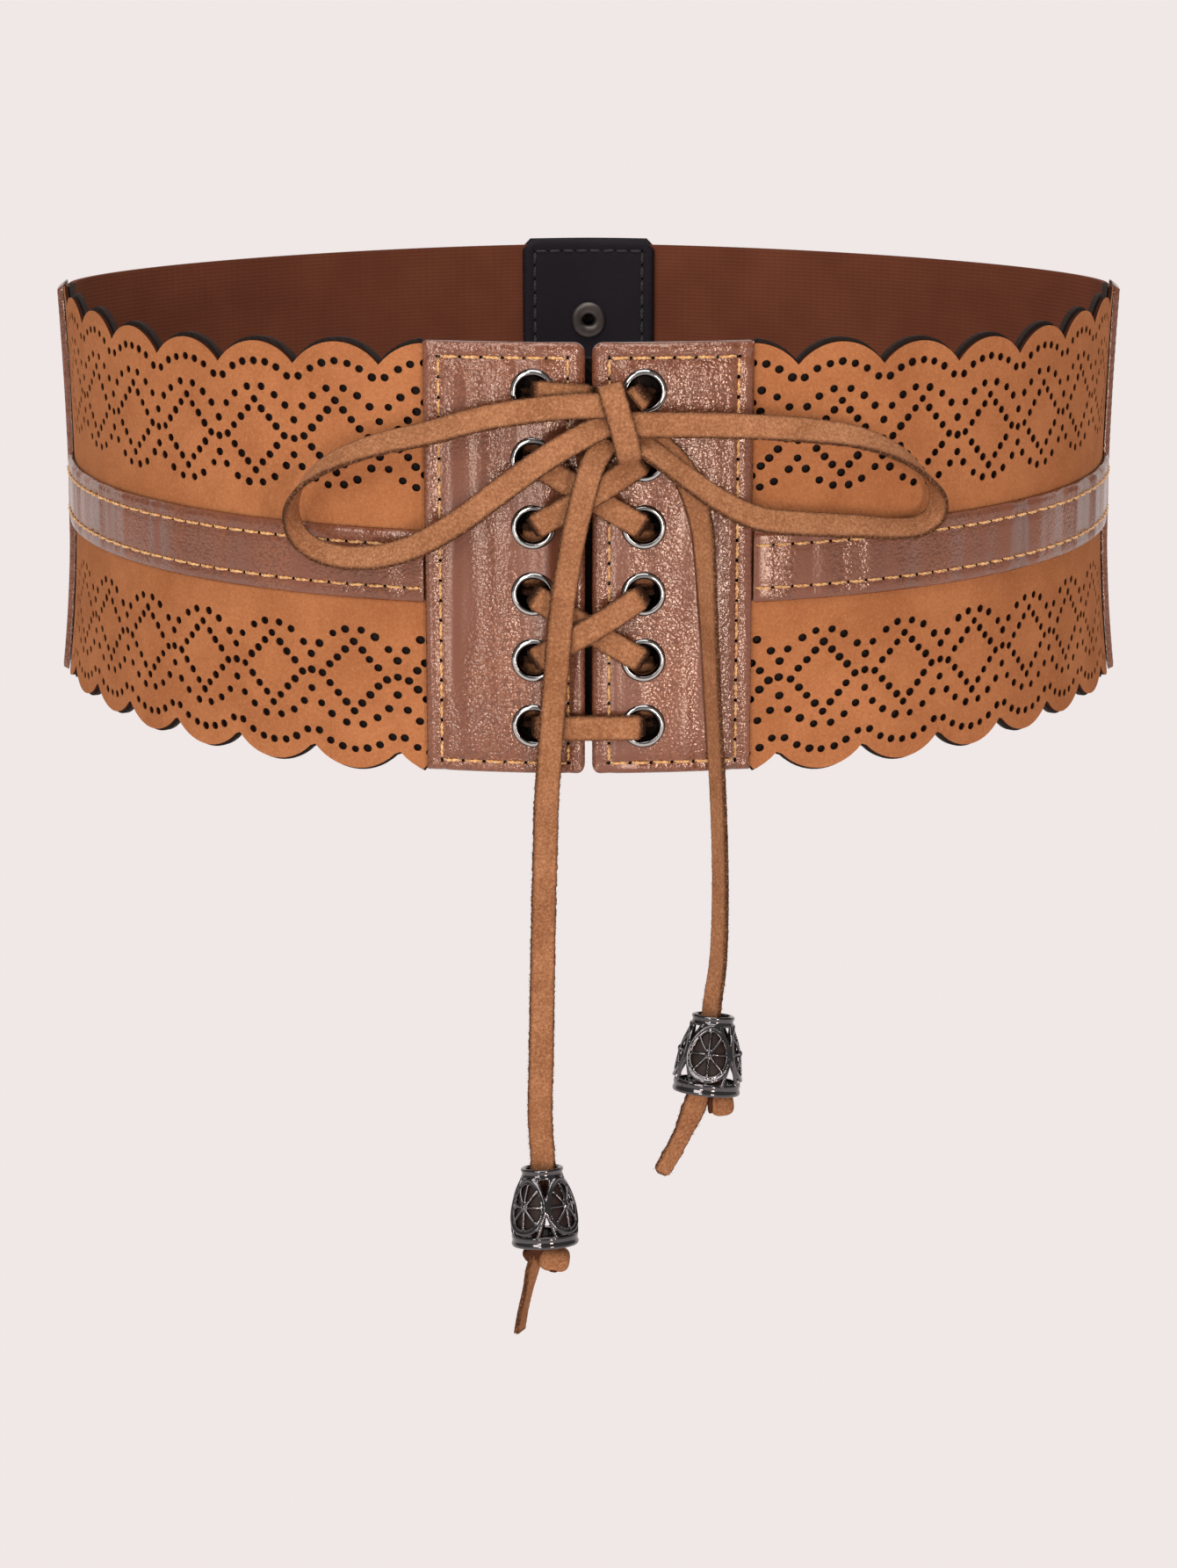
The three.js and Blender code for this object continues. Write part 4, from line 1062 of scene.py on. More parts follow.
for side, word in SIDES:
    seam_corners = [
        (side * SEAM["gap"], SEAM["low"]), (side * SEAM["side"], SEAM["low"]),
        (side * SEAM["side"], SEAM["top"]), (side * SEAM["gap"], SEAM["top"]),
        (side * SEAM["gap"], SEAM["low"]),
    ]
    needle_holes = sewn_places(seam_corners, STITCH_PITCH)
    eyelet_cuts = [circle(eyelet_place(side, row), EYELET_HOLE, 28) for row in range(1, EYELET_ROWS + 1)]
    panel = cut_sheet(
        "panel_" + word, panel_outline(side), eyelet_cuts, 0.9, panel_face, level(PANEL_INNER),
        LEATHER, ["front_panel_" + word], sharp=50, margin=0.35,
        blind=needle_cuts(needle_holes[:-1]),
    )
    stitch_row("panel_stitches_" + word, needle_holes, panel_face, GOLD_THREAD)

# %% [markdown]
# Eyelets are tubes of thin metal, rolled over at both ends. Plated gunmetal is dark and very smooth,
# so what one sees is the studio reflected in the roll. The colour of a metal only tints its
# reflections, and so gunmetal is simply a metal of a dark grey. On top of the roll the metal is
# coloured much lighter, a painted highlight for the bright ring of light there, and a number on
# the mesh marks that ring.

# %% Roll the eyelets


def gunmetal_finish():
    metal = Finish("gunmetal", Metallic=1.0, Roughness=0.14)
    colour = metal.blend(metal.noise(160, 2), srgb(86, 82, 84), srgb(114, 110, 111))
    # Painted highlight: much lighter metal on the crest of each eyelet's roll.
    colour = metal.blend(metal.attribute("crest_highlight"), colour, srgb(204, 202, 198))
    rough = metal.span(metal.noise(700, 3), 0.3, 0.7, 0.07, 0.16)
    return metal.wear(Base_Color=colour, Roughness=rough)


GUNMETAL = gunmetal_finish()


def lathe_points(profile, sides):
    """Rings of points round the Z axis from rows of radius and height."""
    angle = np.linspace(0, 2 * math.pi, sides, endpoint=False)
    rows = [np.column_stack([r * np.cos(angle), r * np.sin(angle), np.full(sides, h)]) for r, h in profile]
    return np.vstack(rows)


def stand_on_wall(points, along, up, out):
    """Turns points from their own axes so that Z points straight out of the wall."""
    away = outward(np.float64(along))
    side_way = unit(np.cross([0, 0, 1], away))
    rise = np.cross(away, side_way)
    return on_wall(along, up, out) + (points @ np.stack([side_way, rise, away])) * MM


def rolled_profile(hole, flange, low, high, steps=12):
    """Closed section of an eyelet: an arched flange in front, a straight barrel and a flange behind."""
    angle = np.linspace(0, math.pi, steps)
    crest, height = hole + (flange - hole) * 0.4, 1.25
    arch = []
    for a in angle:
        reach = flange - crest if a < math.pi / 2 else crest - hole
        arch.append((crest + reach * math.cos(a), high + height * math.sin(a)))
    back = [(hole, low), (hole + 0.3, low - 0.5), (flange - 0.5, low - 0.5), (flange - 0.3, low)]
    return arch + back + [(hole + 0.7, low + 0.1), (hole + 0.7, high - 0.05)]


RING = {"hole": 3.65, "flange": 5.5, "low": -0.15, "high": 2.15}
RING_SIDES = 56
# How much painted highlight each row of the profile gets, highest on the crest of the roll.
CREST_HIGHLIGHT = [0, 0, 0, 0.15, 1, 0.9, 0.15]
ring_profile = rolled_profile(**RING)
crest_highlight = np.zeros(len(ring_profile))
crest_highlight[:len(CREST_HIGHLIGHT)] = CREST_HIGHLIGHT
for side, word in SIDES:
    for row in range(1, EYELET_ROWS + 1):
        along, up = eyelet_place(side, row)
        points = stand_on_wall(lathe_points(ring_profile, RING_SIDES), along, up, 0)
        faces = tube_faces(len(ring_profile), RING_SIDES, closed=True)
        nodes = [f"eyelet_{word}_{row}"]
        ring = new_piece(f"ring_{word}_{row}", points, faces, GUNMETAL, nodes, 50)
        shine = ring.data.attributes.new("crest_highlight", "FLOAT", "POINT")
        shine.data.foreach_set("value", np.repeat(crest_highlight, RING_SIDES).astype(np.float32))
print("points in each eyelet", len(ring_profile) * RING_SIDES)

# %% [markdown]
# A narrow leather strip runs round each side at mid-height, with a row of stitches near each edge.
# Its edges are folded, and it swells a little between the seams.

# %% Sew on the middle strips
STRIP_INNER, STRIP_OUTER = 0.3, 1.5
strip_low, strip_high = (corner.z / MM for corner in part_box("middle_strip_left"))
STRIP_SEAM = 3.6


def rectangle(from_along, to_along, low, high, step, corner=0.6):
    """Outline of an upright rectangle with small round corners, walked in steps."""
    side = 1 if to_along > from_along else -1
    span = abs(to_along - from_along)
    columns = max(2, round(span / step))
    lower = np.column_stack([np.linspace(corner, span - corner, columns), np.full(columns, low)])
    upper = lower[::-1].copy()
    upper[:, 1] = high
    rise = np.linspace(low + corner, high - corner, max(2, round((high - low) / step)))
    right = np.column_stack([np.full(len(rise), span), rise])
    left = np.column_stack([np.zeros(len(rise)), rise[::-1]])
    outline = np.vstack([lower, right, upper, left])
    outline[:, 0] = from_along + side * outline[:, 0]
    return outline


def strip_face(along, up):
    """How far the strip's face stands out, with a groove along each seam."""
    depth = np.minimum(strip_high - up, up - strip_low)
    to_seam = np.minimum(np.abs(up - strip_high + STRIP_SEAM), np.abs(up - strip_low - STRIP_SEAM))
    return STRIP_OUTER + 0.25 - 0.95 * rounded_edge(depth, 1.3) - 0.22 * np.exp(-((to_seam / 0.9) ** 2))


for side, word in SIDES:
    start, end = side * (PANEL_EDGE + 0.3), side * (TRIM_START - 0.3)
    needle_rows = [
        sewn_places([(start, strip_high - STRIP_SEAM), (end, strip_high - STRIP_SEAM)], STITCH_PITCH),
        sewn_places([(start, strip_low + STRIP_SEAM), (end, strip_low + STRIP_SEAM)], STITCH_PITCH),
    ]
    cuts = needle_cuts(np.vstack([row[1:-1] for row in needle_rows]))
    cut_sheet(
        "strip_" + word, rectangle(start, end, strip_low, strip_high, 1.6), [], 1.1,
        strip_face, level(STRIP_INNER), LEATHER, ["middle_strip_" + word],
        sharp=50, margin=0.35, blind=cuts,
    )
    for place, needle_holes in zip(("upper", "lower"), needle_rows):
        stitch_row(f"strip_stitches_{place}_{word}", needle_holes, strip_face, GOLD_THREAD)

# %% [markdown]
# At each side an upright leather strip covers the seam between suede and elastic. It is folded at its
# edges. From the front only its thickness shows, as a narrow edge down each side of the belt.

# %% Fold the side trims
TRIM_END = 220.0
TRIM_INNER, TRIM_OUTER = 0.3, 2.0
trim_low, trim_high = (corner.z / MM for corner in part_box("side_trim_left"))


def trim_face(along, up):
    distance = np.abs(along)
    depth = np.minimum.reduce([distance - TRIM_START, TRIM_END - distance, trim_high - up, up - trim_low])
    return TRIM_OUTER - 1.4 * rounded_edge(depth, 1.3)


for side, word in SIDES:
    cut_sheet(
        "trim_" + word, rectangle(side * TRIM_START, side * TRIM_END, trim_low, trim_high, 1.4), [], 1.2,
        trim_face, level(TRIM_INNER), LEATHER, ["side_trim_" + word], sharp=50,
    )

# %% [markdown]
# The back is wide elastic: rubber threads in a brown weave. It is matt and nearly smooth, with fine
# threads that run round the belt and faint upright ribs where the weave gathers. The ribs are shaped
# in the mesh, and the threads are a bump.

# %% Weave the elastic
TAB_HALF = 20.5
TAB_OVERLAP = 5.0
ELASTIC_OUTER, ELASTIC_INNER = 0.0, -1.5
elastic_low, elastic_high = (corner.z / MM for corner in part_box("elastic_left"))
RIB_PITCH = 2.4


def elastic_finish():
    weave = Finish("elastic_weave", Roughness=0.85, Specular_IOR_Level=0.12)
    place = weave.attribute("wall", "Vector")
    threads = weave.waves("Y", place, 300.0, 0.6)
    upright = weave.waves("X", place, 160.0, 1.5)
    both = weave.sums("ADD", threads, weave.sums("MULTIPLY", upright, 0.3))
    cloud = weave.noise(60, 3)
    colour = weave.blend(weave.span(cloud, 0.35, 0.65), srgb(106, 57, 39), srgb(116, 64, 44))
    colour = weave.blend(weave.span(both, 0.2, 1.2, 0.3, 0), colour, srgb(82, 42, 28))
    return weave.wear(Base_Color=colour, Normal=weave.bump(both, 0.0001, 0.35))


ELASTIC_WEAVE = elastic_finish()


def ribs(along):
    """How far the upright ribs stand out."""
    return 0.05 * np.sin(np.abs(along) * 2 * math.pi / RIB_PITCH)


for side, word in SIDES:
    start, end = side * (SUEDE_END + 0.4), side * (HALF_ROUND - TAB_HALF + TAB_OVERLAP)
    band = cut_sheet(
        "elastic_band_" + word, rectangle(start, end, elastic_low, elastic_high, 0.8), [], 0.8,
        lambda along, up: ELASTIC_OUTER + ribs(along), lambda along, up: ELASTIC_INNER + ribs(along),
        ELASTIC_WEAVE, ["elastic_" + word], sharp=60,
    )

# %% [markdown]
# The two ends of the elastic meet in a black leather tab, one layer inside and one outside, sewn
# round its edge. Three snaps hold it closed. Their sockets show inside as dull dark rings with a hole.

# %% Make the snap tab


def black_leather():
    leather = Finish("black_leather", Roughness=0.6, Specular_IOR_Level=0.15)
    grain = leather.noise(1300, 3, 0.6)
    colour = leather.blend(leather.noise(60, 3), srgb(22, 18, 24), srgb(32, 27, 34))
    return leather.wear(Base_Color=colour, Normal=leather.bump(grain, 0.0004, 0.5))


def dull_metal_finish():
    metal = Finish("dull_metal", Metallic=1.0, Roughness=0.48)
    return metal.wear(Base_Color=metal.blend(metal.noise(400, 3), srgb(74, 68, 66), srgb(104, 97, 94)))


BLACK_LEATHER = black_leather()
BLACK_THREAD = thread_finish("black_thread", srgb(40, 36, 42), srgb(22, 19, 24))
DULL_METAL = dull_metal_finish()
tab_low, tab_high = (corner.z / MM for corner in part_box("snap_tab_inner"))
TAB_FACES = {"outer": {"front": 2.2, "back": 0.3}, "inner": {"front": -1.8, "back": -3.7}}
TAB_SEAM = 3.4
TAB_STITCH_PITCH = 4.2
SNAP_HEIGHTS = (30.0, 0.0, -30.0)
SNAP_HOLE = 2.1
SNAP_SIDES = 40


def tab_swell(along, up):
    """The tab's face bulges a little and its edges are rounded."""
    depth = np.minimum.reduce([TAB_HALF - np.abs(along - HALF_ROUND), tab_high - up, up - tab_low])
    return 0.8 * rounded_edge(depth, 1.4) + 0.2 * np.exp(-(((depth - TAB_SEAM) / 1.0) ** 2))


def tab_back(along, up):
    return TAB_FACES["inner"]["back"] + tab_swell(along, up)


def tab_front(along, up):
    return TAB_FACES["outer"]["front"] - tab_swell(along, up)


tab_outline = rectangle(HALF_ROUND - TAB_HALF, HALF_ROUND + TAB_HALF, tab_low, tab_high, 1.5, 3.0)
seam_from, seam_to = HALF_ROUND - TAB_HALF + TAB_SEAM, HALF_ROUND + TAB_HALF - TAB_SEAM
seam_low, seam_high = tab_low + TAB_SEAM, tab_high - TAB_SEAM
tab_corners = [
    (seam_from, seam_low), (seam_to, seam_low), (seam_to, seam_high), (seam_from, seam_high),
    (seam_from, seam_low),
]
tab_seam = sewn_places(tab_corners, TAB_STITCH_PITCH)
for word, outer, inner in (
    ("inner", level(TAB_FACES["inner"]["front"]), tab_back),
    ("outer", tab_front, level(TAB_FACES["outer"]["back"])),
):
    cuts = [circle((HALF_ROUND, up), SNAP_HOLE, 16) for up in SNAP_HEIGHTS]
    cuts += needle_cuts(tab_seam[:-1], 0.6)
    cut_sheet(
        "tab_" + word, tab_outline, cuts, 1.3, outer, inner,
        BLACK_LEATHER, ["snap_tab_" + word], sharp=50, margin=0.35,
    )
    face, rise = (tab_front, 0.3) if word == "outer" else (tab_back, -0.3)
    stitch_row("tab_stitches_" + word, tab_seam, face, BLACK_THREAD, rise=rise)
SNAP_CAP = [
    (0.01, 4.2), (2.0, 4.15), (3.6, 3.9), (4.8, 3.3), (5.3, 2.6), (5.2, 2.3), (1.9, 2.3), (1.9, -3.9),
    (5.2, -3.9), (5.3, -4.3), (4.9, -4.9), (4.2, -5.15), (3.3, -5.2), (2.5, -5.0), (1.9, -4.5), (1.7, -3.9),
    (1.6, 3.6), (0.01, 3.6),
]
for number, up in enumerate(SNAP_HEIGHTS, 1):
    cap = stand_on_wall(lathe_points(SNAP_CAP, SNAP_SIDES), HALF_ROUND, up, 0)
    faces = tube_faces(len(SNAP_CAP), SNAP_SIDES)
    new_piece(f"stud_{number}", cap, faces, DULL_METAL, [f"snap_{number}"], 40)

# %% [markdown]
# Behind the lacing gap hangs a dark strip of cloth, which closes the gap when the belt is worn. Its
# lower hem reaches below the last eyelets and is cut higher in the middle, just over the gap's end.

# %% Hang the placket
placket_low, placket_high = (corner.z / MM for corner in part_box("placket"))
PLACKET_EDGE = 33.0
PLACKET_OUTER, PLACKET_INNER = -3.0, -4.2
HEM_DROP = 2.6
placket_outline = rectangle(-PLACKET_EDGE, PLACKET_EDGE, placket_low, placket_high, 2.0)
on_hem = placket_outline[:, 1] < placket_low + 0.1
placket_outline[on_hem, 1] -= HEM_DROP * smooth_step(np.abs(placket_outline[on_hem, 0]), 3.0, 8.0)
placket = cut_sheet(
    "placket_cloth", placket_outline, [], 2.4,
    level(PLACKET_OUTER), level(PLACKET_INNER), DARK_CLOTH, ["placket"],
)
print("placket's hem in mm", round(placket_low - HEM_DROP, 1))

# %% [markdown]
# The beads are cast metal: a collar, a foot ring and between them four oval wheels with spokes, held
# by struts. First a bead is drawn as round wires, in millimetres, standing on its foot. A place on its
# bell is a turn round the axis and a height. Each wheel has two rims, a thick one and a thin one inside
# it, which take two bright lines of light. The ground of each wheel is closed, and only the windows
# between the wheels are open.

# %% Draw the wires of a bead
WHEELS = 4
SPOKES = 8
WHEEL_MIDDLE = 10.5
WHEEL_HALF_HIGH = 6.6
WHEEL_HALF_TURN = 43
WIRE = {"rim": 0.5, "inner rim": 0.3, "spoke": 0.36, "strut": 0.44}
WIRE_SIDES = 10
RING_STEPS = 72
INNER_RIM = 0.86
GROUND_OUTER, GROUND_INNER = -0.55, -1.0
HUB_RADIUS = 0.95
BEAD_PROFILE = [
    (0.0, 8.2), (2.8, 8.2), (5.7, 8.1), (9.5, 7.6), (11.5, 7.1), (13.4, 6.5), (15.5, 5.6), (17.0, 5.1),
    (19.6, 5.0),
]
FOOT_RING = [
    (6.9, 0.4), (7.6, 0.0), (8.3, 0.15), (8.5, 0.7), (8.35, 1.2), (8.2, 1.6), (8.3, 2.1), (8.4, 2.6),
    (8.2, 3.1), (7.4, 3.2), (6.9, 2.6),
]
COLLAR = [
    (4.1, 17.2), (4.9, 16.9), (5.3, 17.1), (5.35, 17.5), (5.1, 17.9), (5.05, 18.3), (5.25, 18.7),
    (5.4, 19.1), (5.2, 19.5), (4.7, 19.6), (4.1, 19.3),
]


def bell_radius(height):
    heights, radii = zip(*BEAD_PROFILE)
    return np.interp(height, heights, radii)


def on_bell(turn, height, lift=0.0):
    """Points on the bead's bell, or a lift outside it, from turns in degrees and heights."""
    radius = bell_radius(height) + lift
    angle = np.radians(turn)
    return np.stack(np.broadcast_arrays(radius * np.cos(angle), radius * np.sin(angle), height), -1)


def wire(path, thick, closed=False):
    """A round wire along points, as points and faces."""
    path = np.asarray(path, float)
    forward = unit(np.gradient(path, axis=0))
    if closed:
        forward = unit(np.roll(path, -1, 0) - np.roll(path, 1, 0))
    away = unit(path * [1, 1, 0])
    cross = unit(np.cross(away, forward))
    away = np.cross(forward, cross)
    angle = np.linspace(0, 2 * math.pi, WIRE_SIDES, endpoint=False)
    rings = rings_round(path, cross, away, angle, thick)
    return rings.reshape(-1, 3), tube_faces(len(path), WIRE_SIDES, closed)


def wheel_parts(middle):
    """Rims, spokes and hub of the oval wheel that faces one way."""
    parts = []
    angle = np.linspace(0, 2 * math.pi, 60, endpoint=False)
    for share, thick, lift in ((1.0, WIRE["rim"], 0.15), (INNER_RIM, WIRE["inner rim"], 0.0)):
        turn = middle + WHEEL_HALF_TURN * share * np.cos(angle)
        height = WHEEL_MIDDLE + WHEEL_HALF_HIGH * share * np.sin(angle)
        parts.append(wire(on_bell(turn, height, lift), thick, closed=True))
    share = np.linspace(0.05, 0.97, 9)
    for spoke in range(SPOKES):
        way = 2 * math.pi * spoke / SPOKES
        turn = middle + WHEEL_HALF_TURN * share * math.cos(way)
        height = WHEEL_MIDDLE + WHEEL_HALF_HIGH * share * math.sin(way)
        parts.append(wire(on_bell(turn, height), WIRE["spoke"]))
    arc = np.linspace(0, math.pi, 9)
    ball = lathe_points(np.column_stack([HUB_RADIUS * np.sin(arc) + 0.01, HUB_RADIUS * np.cos(arc)]), 14)
    parts.append((ball + on_bell(middle, WHEEL_MIDDLE, -0.2), tube_faces(len(arc), 14)))
    return parts


def wheel_ground(middle):
    """The closed plate behind a wheel's spokes."""
    angle = np.linspace(0, 2 * math.pi, 40, endpoint=False)
    rings = []
    shares = (0.02, 0.3, 0.6, 0.85, 1.0)
    for lift, order in ((GROUND_OUTER, shares), (GROUND_INNER, shares[::-1])):
        for share in order:
            turn = middle + WHEEL_HALF_TURN * share * np.cos(angle)
            rings.append(on_bell(turn, WHEEL_MIDDLE + WHEEL_HALF_HIGH * share * np.sin(angle), lift))
    return np.vstack(rings), tube_faces(len(rings), len(angle))


def strut_parts(corner):
    """The struts between two wheels: a V below, a V above and a short bar where the wheels meet."""
    share = np.linspace(0, 1, 9)
    parts = [wire(on_bell(corner, np.linspace(9.2, 11.6, 5)), WIRE["strut"])]
    for lean in (-1, 1):
        parts.append(wire(on_bell(corner + lean * 17 * (1 - share), 3.0 + 6.6 * share), WIRE["strut"]))
        parts.append(wire(on_bell(corner + lean * 18 * share, 11.2 + 6.0 * share), WIRE["strut"]))
    return parts


def bead_parts():
    """Every wire and ring of a bead, standing on its foot at the origin."""
    parts = []
    for ring in (FOOT_RING, COLLAR):
        parts.append((lathe_points(ring, RING_STEPS), tube_faces(len(ring), RING_STEPS, closed=True)))
    for wheel in range(WHEELS):
        middle = 360 / WHEELS * wheel
        parts += wheel_parts(middle) + strut_parts(middle + 180 / WHEELS)
    return parts


print("rings and wires in a bead", len(bead_parts()))

# %% [markdown]
# Cast work has no sharp joints, since metal flows into every corner. A voxel remesh does the same to
# the heap of wires: it melts them into one skin, and a little smoothing softens the corners. The mesh
# is cast once and hung twice. Each copy is turned about its axis so that the right wheels face the
# camera, leans as its tail does, and is tipped with its foot to the front. The grounds stay out of the
# remesh, because they wear a finish of their own, blackened in the casting and never polished.

# %% Cast and hang the beads
VOXEL = 0.17
SMOOTHINGS = 4
FACE_TURN = {"left": 50, "right": -4}


def gather(parts):
    """Several bodies as one list of points and one of faces."""
    points, faces, offset = [], [], 0
    for part_points, part_faces in parts:
        points.append(part_points)
        faces += [tuple(i + offset for i in face) for face in part_faces]
        offset += len(part_points)
    return np.vstack(points) * MM, faces


def bead_skin():
    """One bead, its parts melted together."""
    points, faces = gather(bead_parts())
    mesh = bpy.data.meshes.new("bead_cast")
    mesh.from_pydata([tuple(p) for p in points], [], faces)
    cast = bpy.data.objects.new("bead_cast", mesh)
    bpy.context.scene.collection.objects.link(cast)
    melt = cast.modifiers.new("melt", "REMESH")
    melt.mode = "VOXEL"
    melt.voxel_size = VOXEL * MM
    ease = cast.modifiers.new("ease", "SMOOTH")
    ease.iterations = SMOOTHINGS
    ready = cast.evaluated_get(bpy.context.evaluated_depsgraph_get())
    skin = bpy.data.meshes.new_from_object(ready)
    skin_points = np.array([v.co[:] for v in skin.vertices])
    skin_faces = [tuple(p.vertices) for p in skin.polygons]
    bpy.data.objects.remove(cast)
    return skin_points, skin_faces


def blackened_finish():
    ground = Finish("blackened_ground", Roughness=0.5, Specular_IOR_Level=0.2)
    return ground.wear(Base_Color=ground.blend(ground.noise(500, 3), srgb(28, 19, 18), srgb(50, 35, 31)))


def turn_about(axis, angle):
    """The matrix of a turn about the X, Y or Z axis."""
    first, second = {"X": (1, 2), "Y": (2, 0), "Z": (0, 1)}[axis]
    matrix = np.eye(3)
    matrix[first, first] = matrix[second, second] = math.cos(angle)
    matrix[first, second] = -math.sin(angle)
    matrix[second, first] = math.sin(angle)
    return matrix


BLACKENED = blackened_finish()
cast_points, cast_faces = bead_skin()
ground_points, ground_faces = gather([wheel_ground(360 / WHEELS * wheel) for wheel in range(WHEELS)])
beads, grounds = {}, {}
for word in BEADS:
    face = turn_about("Z", math.radians(FACE_TURN[word]))
    lean = turn_about("Y", math.radians(BEADS[word]["lean"]))
    hang = (turn_about("X", -BEAD_TIP) @ lean @ face).T
    foot = on_wall(*bead_place(word, BEAD_HEIGHT))
    placed, nodes = cast_points @ hang + foot, ["bead_" + word]
    beads[word] = new_piece("pierced_bead_" + word, placed, cast_faces, GUNMETAL, nodes, 80)
    placed = ground_points @ hang + foot
    grounds[word] = new_piece("bead_ground_" + word, placed, ground_faces, BLACKENED, (), 60)
    print("bead", word, "has", len(cast_faces), "faces")

# %% [markdown]
# Under each bead the lace is tied in a small overhand knot, so that the bead can't slip off. Pulled
# tight, such a knot is a rounded box of folded lace, with a groove where the strip laps over itself
# and shade where it turns in. It is modelled as a few soft lumps. Where the lace turns in, dark lumps
# carry painted shade. Below it hangs the cut end, which the blade left narrower.

# %% Knot the tails
KNOT_LUMPS = {
    "left": [
        {"along": -8.3, "drop": 4.6, "wide": 7.8, "deep": 6.4, "high": 6.0, "slant": -8, "groove": 0.45},
        {"along": -13.0, "drop": 2.7, "wide": 6.4, "deep": 4.0, "high": 3.8, "slant": 32, "shaded": True},
        {"along": -8.6, "drop": 6.8, "wide": 2.7, "deep": 6.0, "high": 1.4, "slant": -10, "shaded": True},
    ],
    "right": [
        {"along": 32.2, "drop": 3.8, "wide": 6.0, "deep": 6.4, "high": 5.8, "slant": 8, "groove": -0.5},
        {"along": 29.4, "drop": 3.6, "wide": 1.4, "deep": 5.0, "high": 4.8, "slant": 0, "shaded": True},
    ],
}
TAIL_ENDS = {
    "left": [
        (-12.2, -174.6, 6.4, -58), (-13.4, -178.0, 6.8, -64), (-14.6, -183.6, 6.8, -70),
        (-15.9, -189.6, 6.8, -72), (-16.8, -195.4, 6.8, -72),
    ],
    "right": [
        (27.6, -130.6, 6.4, -4), (26.2, -133.8, 6.6, -5), (24.0, -139.6, 6.6, -7), (20.8, -146.8, 6.6, -10),
        (17.4, -153.2, 6.6, -16),
    ],
}
TIP_SQUEEZE = (0, 18.0, 0.78)
TIP_SHADE = 0.2


def shade_finish():
    """Suede that lies deep in a knot, coloured dark as painted shade."""
    shade = Finish("knot_shade", Roughness=0.95, Specular_IOR_Level=0.05)
    return shade.wear(Base_Color=shade.blend(shade.noise(900, 3), srgb(58, 32, 22), srgb(92, 55, 38)))


KNOT_SHADE = shade_finish()


def knot_lump(name, lump, foot_up, out, nodes):
    """A rounded box, slanted in the wall's plane, with a groove down its face."""
    centre = on_wall(lump["along"], foot_up - lump["drop"], out)
    angle = np.linspace(0, 2 * math.pi, 56, endpoint=False)
    boxy = 0.66
    rings = []
    for rise in np.linspace(-math.pi / 2, math.pi / 2, 27):
        level_share = max(math.cos(rise), 1e-3) ** boxy
        x = level_share * np.sign(np.cos(angle)) * np.abs(np.cos(angle)) ** boxy
        y = level_share * np.sign(np.sin(angle)) * np.abs(np.sin(angle)) ** boxy
        z = math.copysign(abs(math.sin(rise)) ** boxy, rise)
        if "groove" in lump:
            y = y * (1 - 0.16 * np.exp(-(((x - lump["groove"] - 0.1 * z) / 0.09) ** 2)))
        z = np.full(len(x), z)
        rings.append(np.column_stack([x * lump["wide"], y * lump["deep"], z * lump["high"]]) / 2)
    points = centre + np.vstack(rings) @ turn_about("Y", math.radians(lump["slant"])) * MM
    # The shaded lumps are dark suede: painted shade where the lace turns in.
    finish = KNOT_SHADE if lump.get("shaded") else LACE_FINISH
    return new_piece(name, points, tube_faces(len(rings), len(angle)), finish, nodes, 60)


tail_pieces = {}
for word in BEADS:
    tail_pieces[word] = [beads[word], grounds[word]]
    for number, lump in enumerate(KNOT_LUMPS[word]):
        nodes = ["tail_knot_" + word] if number == 0 else ()
        foot_up = bead_place(word, BEAD_HEIGHT)[1]
        tail_pieces[word].append(knot_lump(f"knot_{word}_{number}", lump, foot_up, BEADS[word]["out"], nodes))
    end, _ = lace(
        "tail_tip_" + word,
        TAIL_ENDS[word],
        ["tail_end_" + word],
        rounded=word == "right",
        squeezed=TIP_SQUEEZE,
        darkens=TIP_SHADE,
    )
    tail_pieces[word].append(end)
    print("the", word, "tail carries", len(tail_pieces[word]), "pieces")

# %% [markdown]
# Each free length of lace is listed with the number of pieces it carries. A loop leaves the knot and
# goes back into it. A tail ends in its knot, with the bead on it.

for piece_name, (piece, route) in bow.items():
    tail = "tail" in piece_name
    carried = tail_pieces[piece_name.removeprefix("lace_tail_")] if tail else ()
    print(piece_name, "carries", len(carried), "pieces")

# %% [markdown]
# The studio is plain: a pale floor that curves up into the wall behind, so that there is no line at
# the horizon. A product photograph on white burns its background out to one even tone. Here the
# backdrop gives off a little light of its own, which does the same.
#
# Metal and glossy leather show whatever stands round them. With an even, bright room they would look
# grey. So the room itself is dim, and the light comes from four panels: a key light from the upper
# left, a wide soft one above, and two that are tall and narrow and stand low in front. Their images are
# the crisp white lines on the eyelets and beads and the glints in the leather's grain. The two in front
# are warm, so that the gloss on the leather is a warm one too.

# %% Build the studio
FLOOR = -0.45


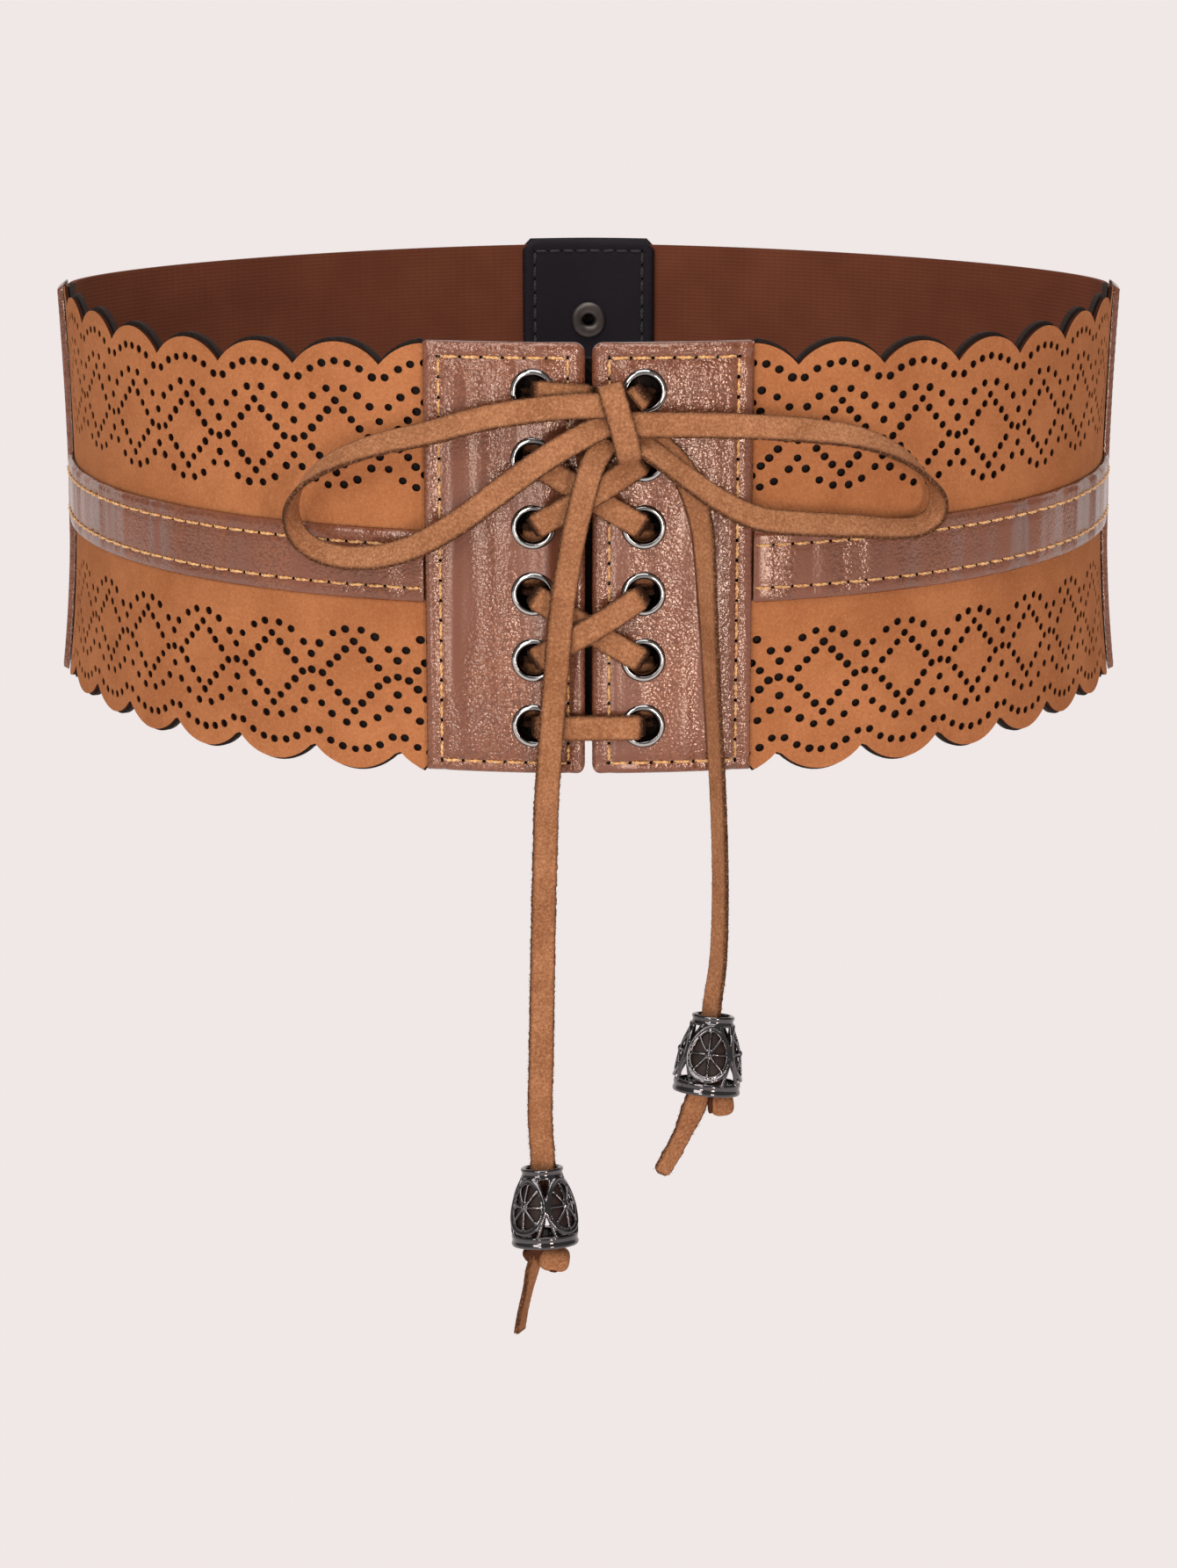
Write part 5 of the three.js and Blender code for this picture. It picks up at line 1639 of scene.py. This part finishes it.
def backdrop():
    """Floor and wall in one sheet, joined by a wide curve."""
    radius, back = 1.0, 2.2
    angle = np.linspace(-math.pi / 2, 0, 16)
    curve = [(back + radius * math.cos(a), FLOOR + radius + radius * math.sin(a)) for a in angle]
    line = [(-3.0, FLOOR), *curve, (back + radius, 4.0)]
    points = [(x, y, z) for y, z in line for x in (-4.0, 4.0)]
    faces = [(2 * i, 2 * i + 1, 2 * i + 3, 2 * i + 2) for i in range(len(line) - 1)]
    mesh = bpy.data.meshes.new("backdrop")
    mesh.from_pydata(points, [], faces)
    mesh.shade_smooth()
    paper = Finish("pale_paper", Roughness=1.0, Specular_IOR_Level=0.0, Base_Color=(0, 0, 0, 1))
    mesh.materials.append(paper.wear(Emission_Color=srgb(240, 232, 230), Emission_Strength=1.0))
    sheet = bpy.data.objects.new("backdrop", mesh)
    bpy.context.scene.collection.objects.link(sheet)


def light_panel(name, place, target, wide, high, power, tint=(1, 1, 1)):
    """A soft light in a rectangle that faces a point."""
    data = bpy.data.lights.new(name, "AREA")
    data.shape = "RECTANGLE"
    data.size, data.size_y = wide, high
    data.energy = power
    data.color = tint
    panel = bpy.data.objects.new(name, data)
    panel.location = place
    panel.rotation_euler = (Vector(target) - Vector(place)).to_track_quat("-Z", "Y").to_euler()
    bpy.context.scene.collection.objects.link(panel)


backdrop()
world = bpy.data.worlds.new("studio")
world.use_nodes = True
room = world.node_tree.nodes["Background"].inputs
room["Color"].default_value = (1.0, 0.98, 0.97, 1)
room["Strength"].default_value = 0.22
bpy.context.scene.world = world
light_panel("key", (-0.9, -1.5, 1.0), (0, 0, 0), 0.8, 0.8, 13, (1, 0.97, 0.93))
light_panel("front left", (-0.55, -1.8, -0.08), (0, 0, -0.08), 0.15, 0.7, 6.5, (1, 0.95, 0.9))
light_panel("front right", (0.65, -1.75, -0.08), (0, 0, -0.08), 0.15, 0.7, 11.5, (1, 0.88, 0.79))
light_panel("top", (0, -0.5, 1.6), (0, 0, 0), 1.2, 1.2, 19)
print("lights", len(bpy.data.lights))
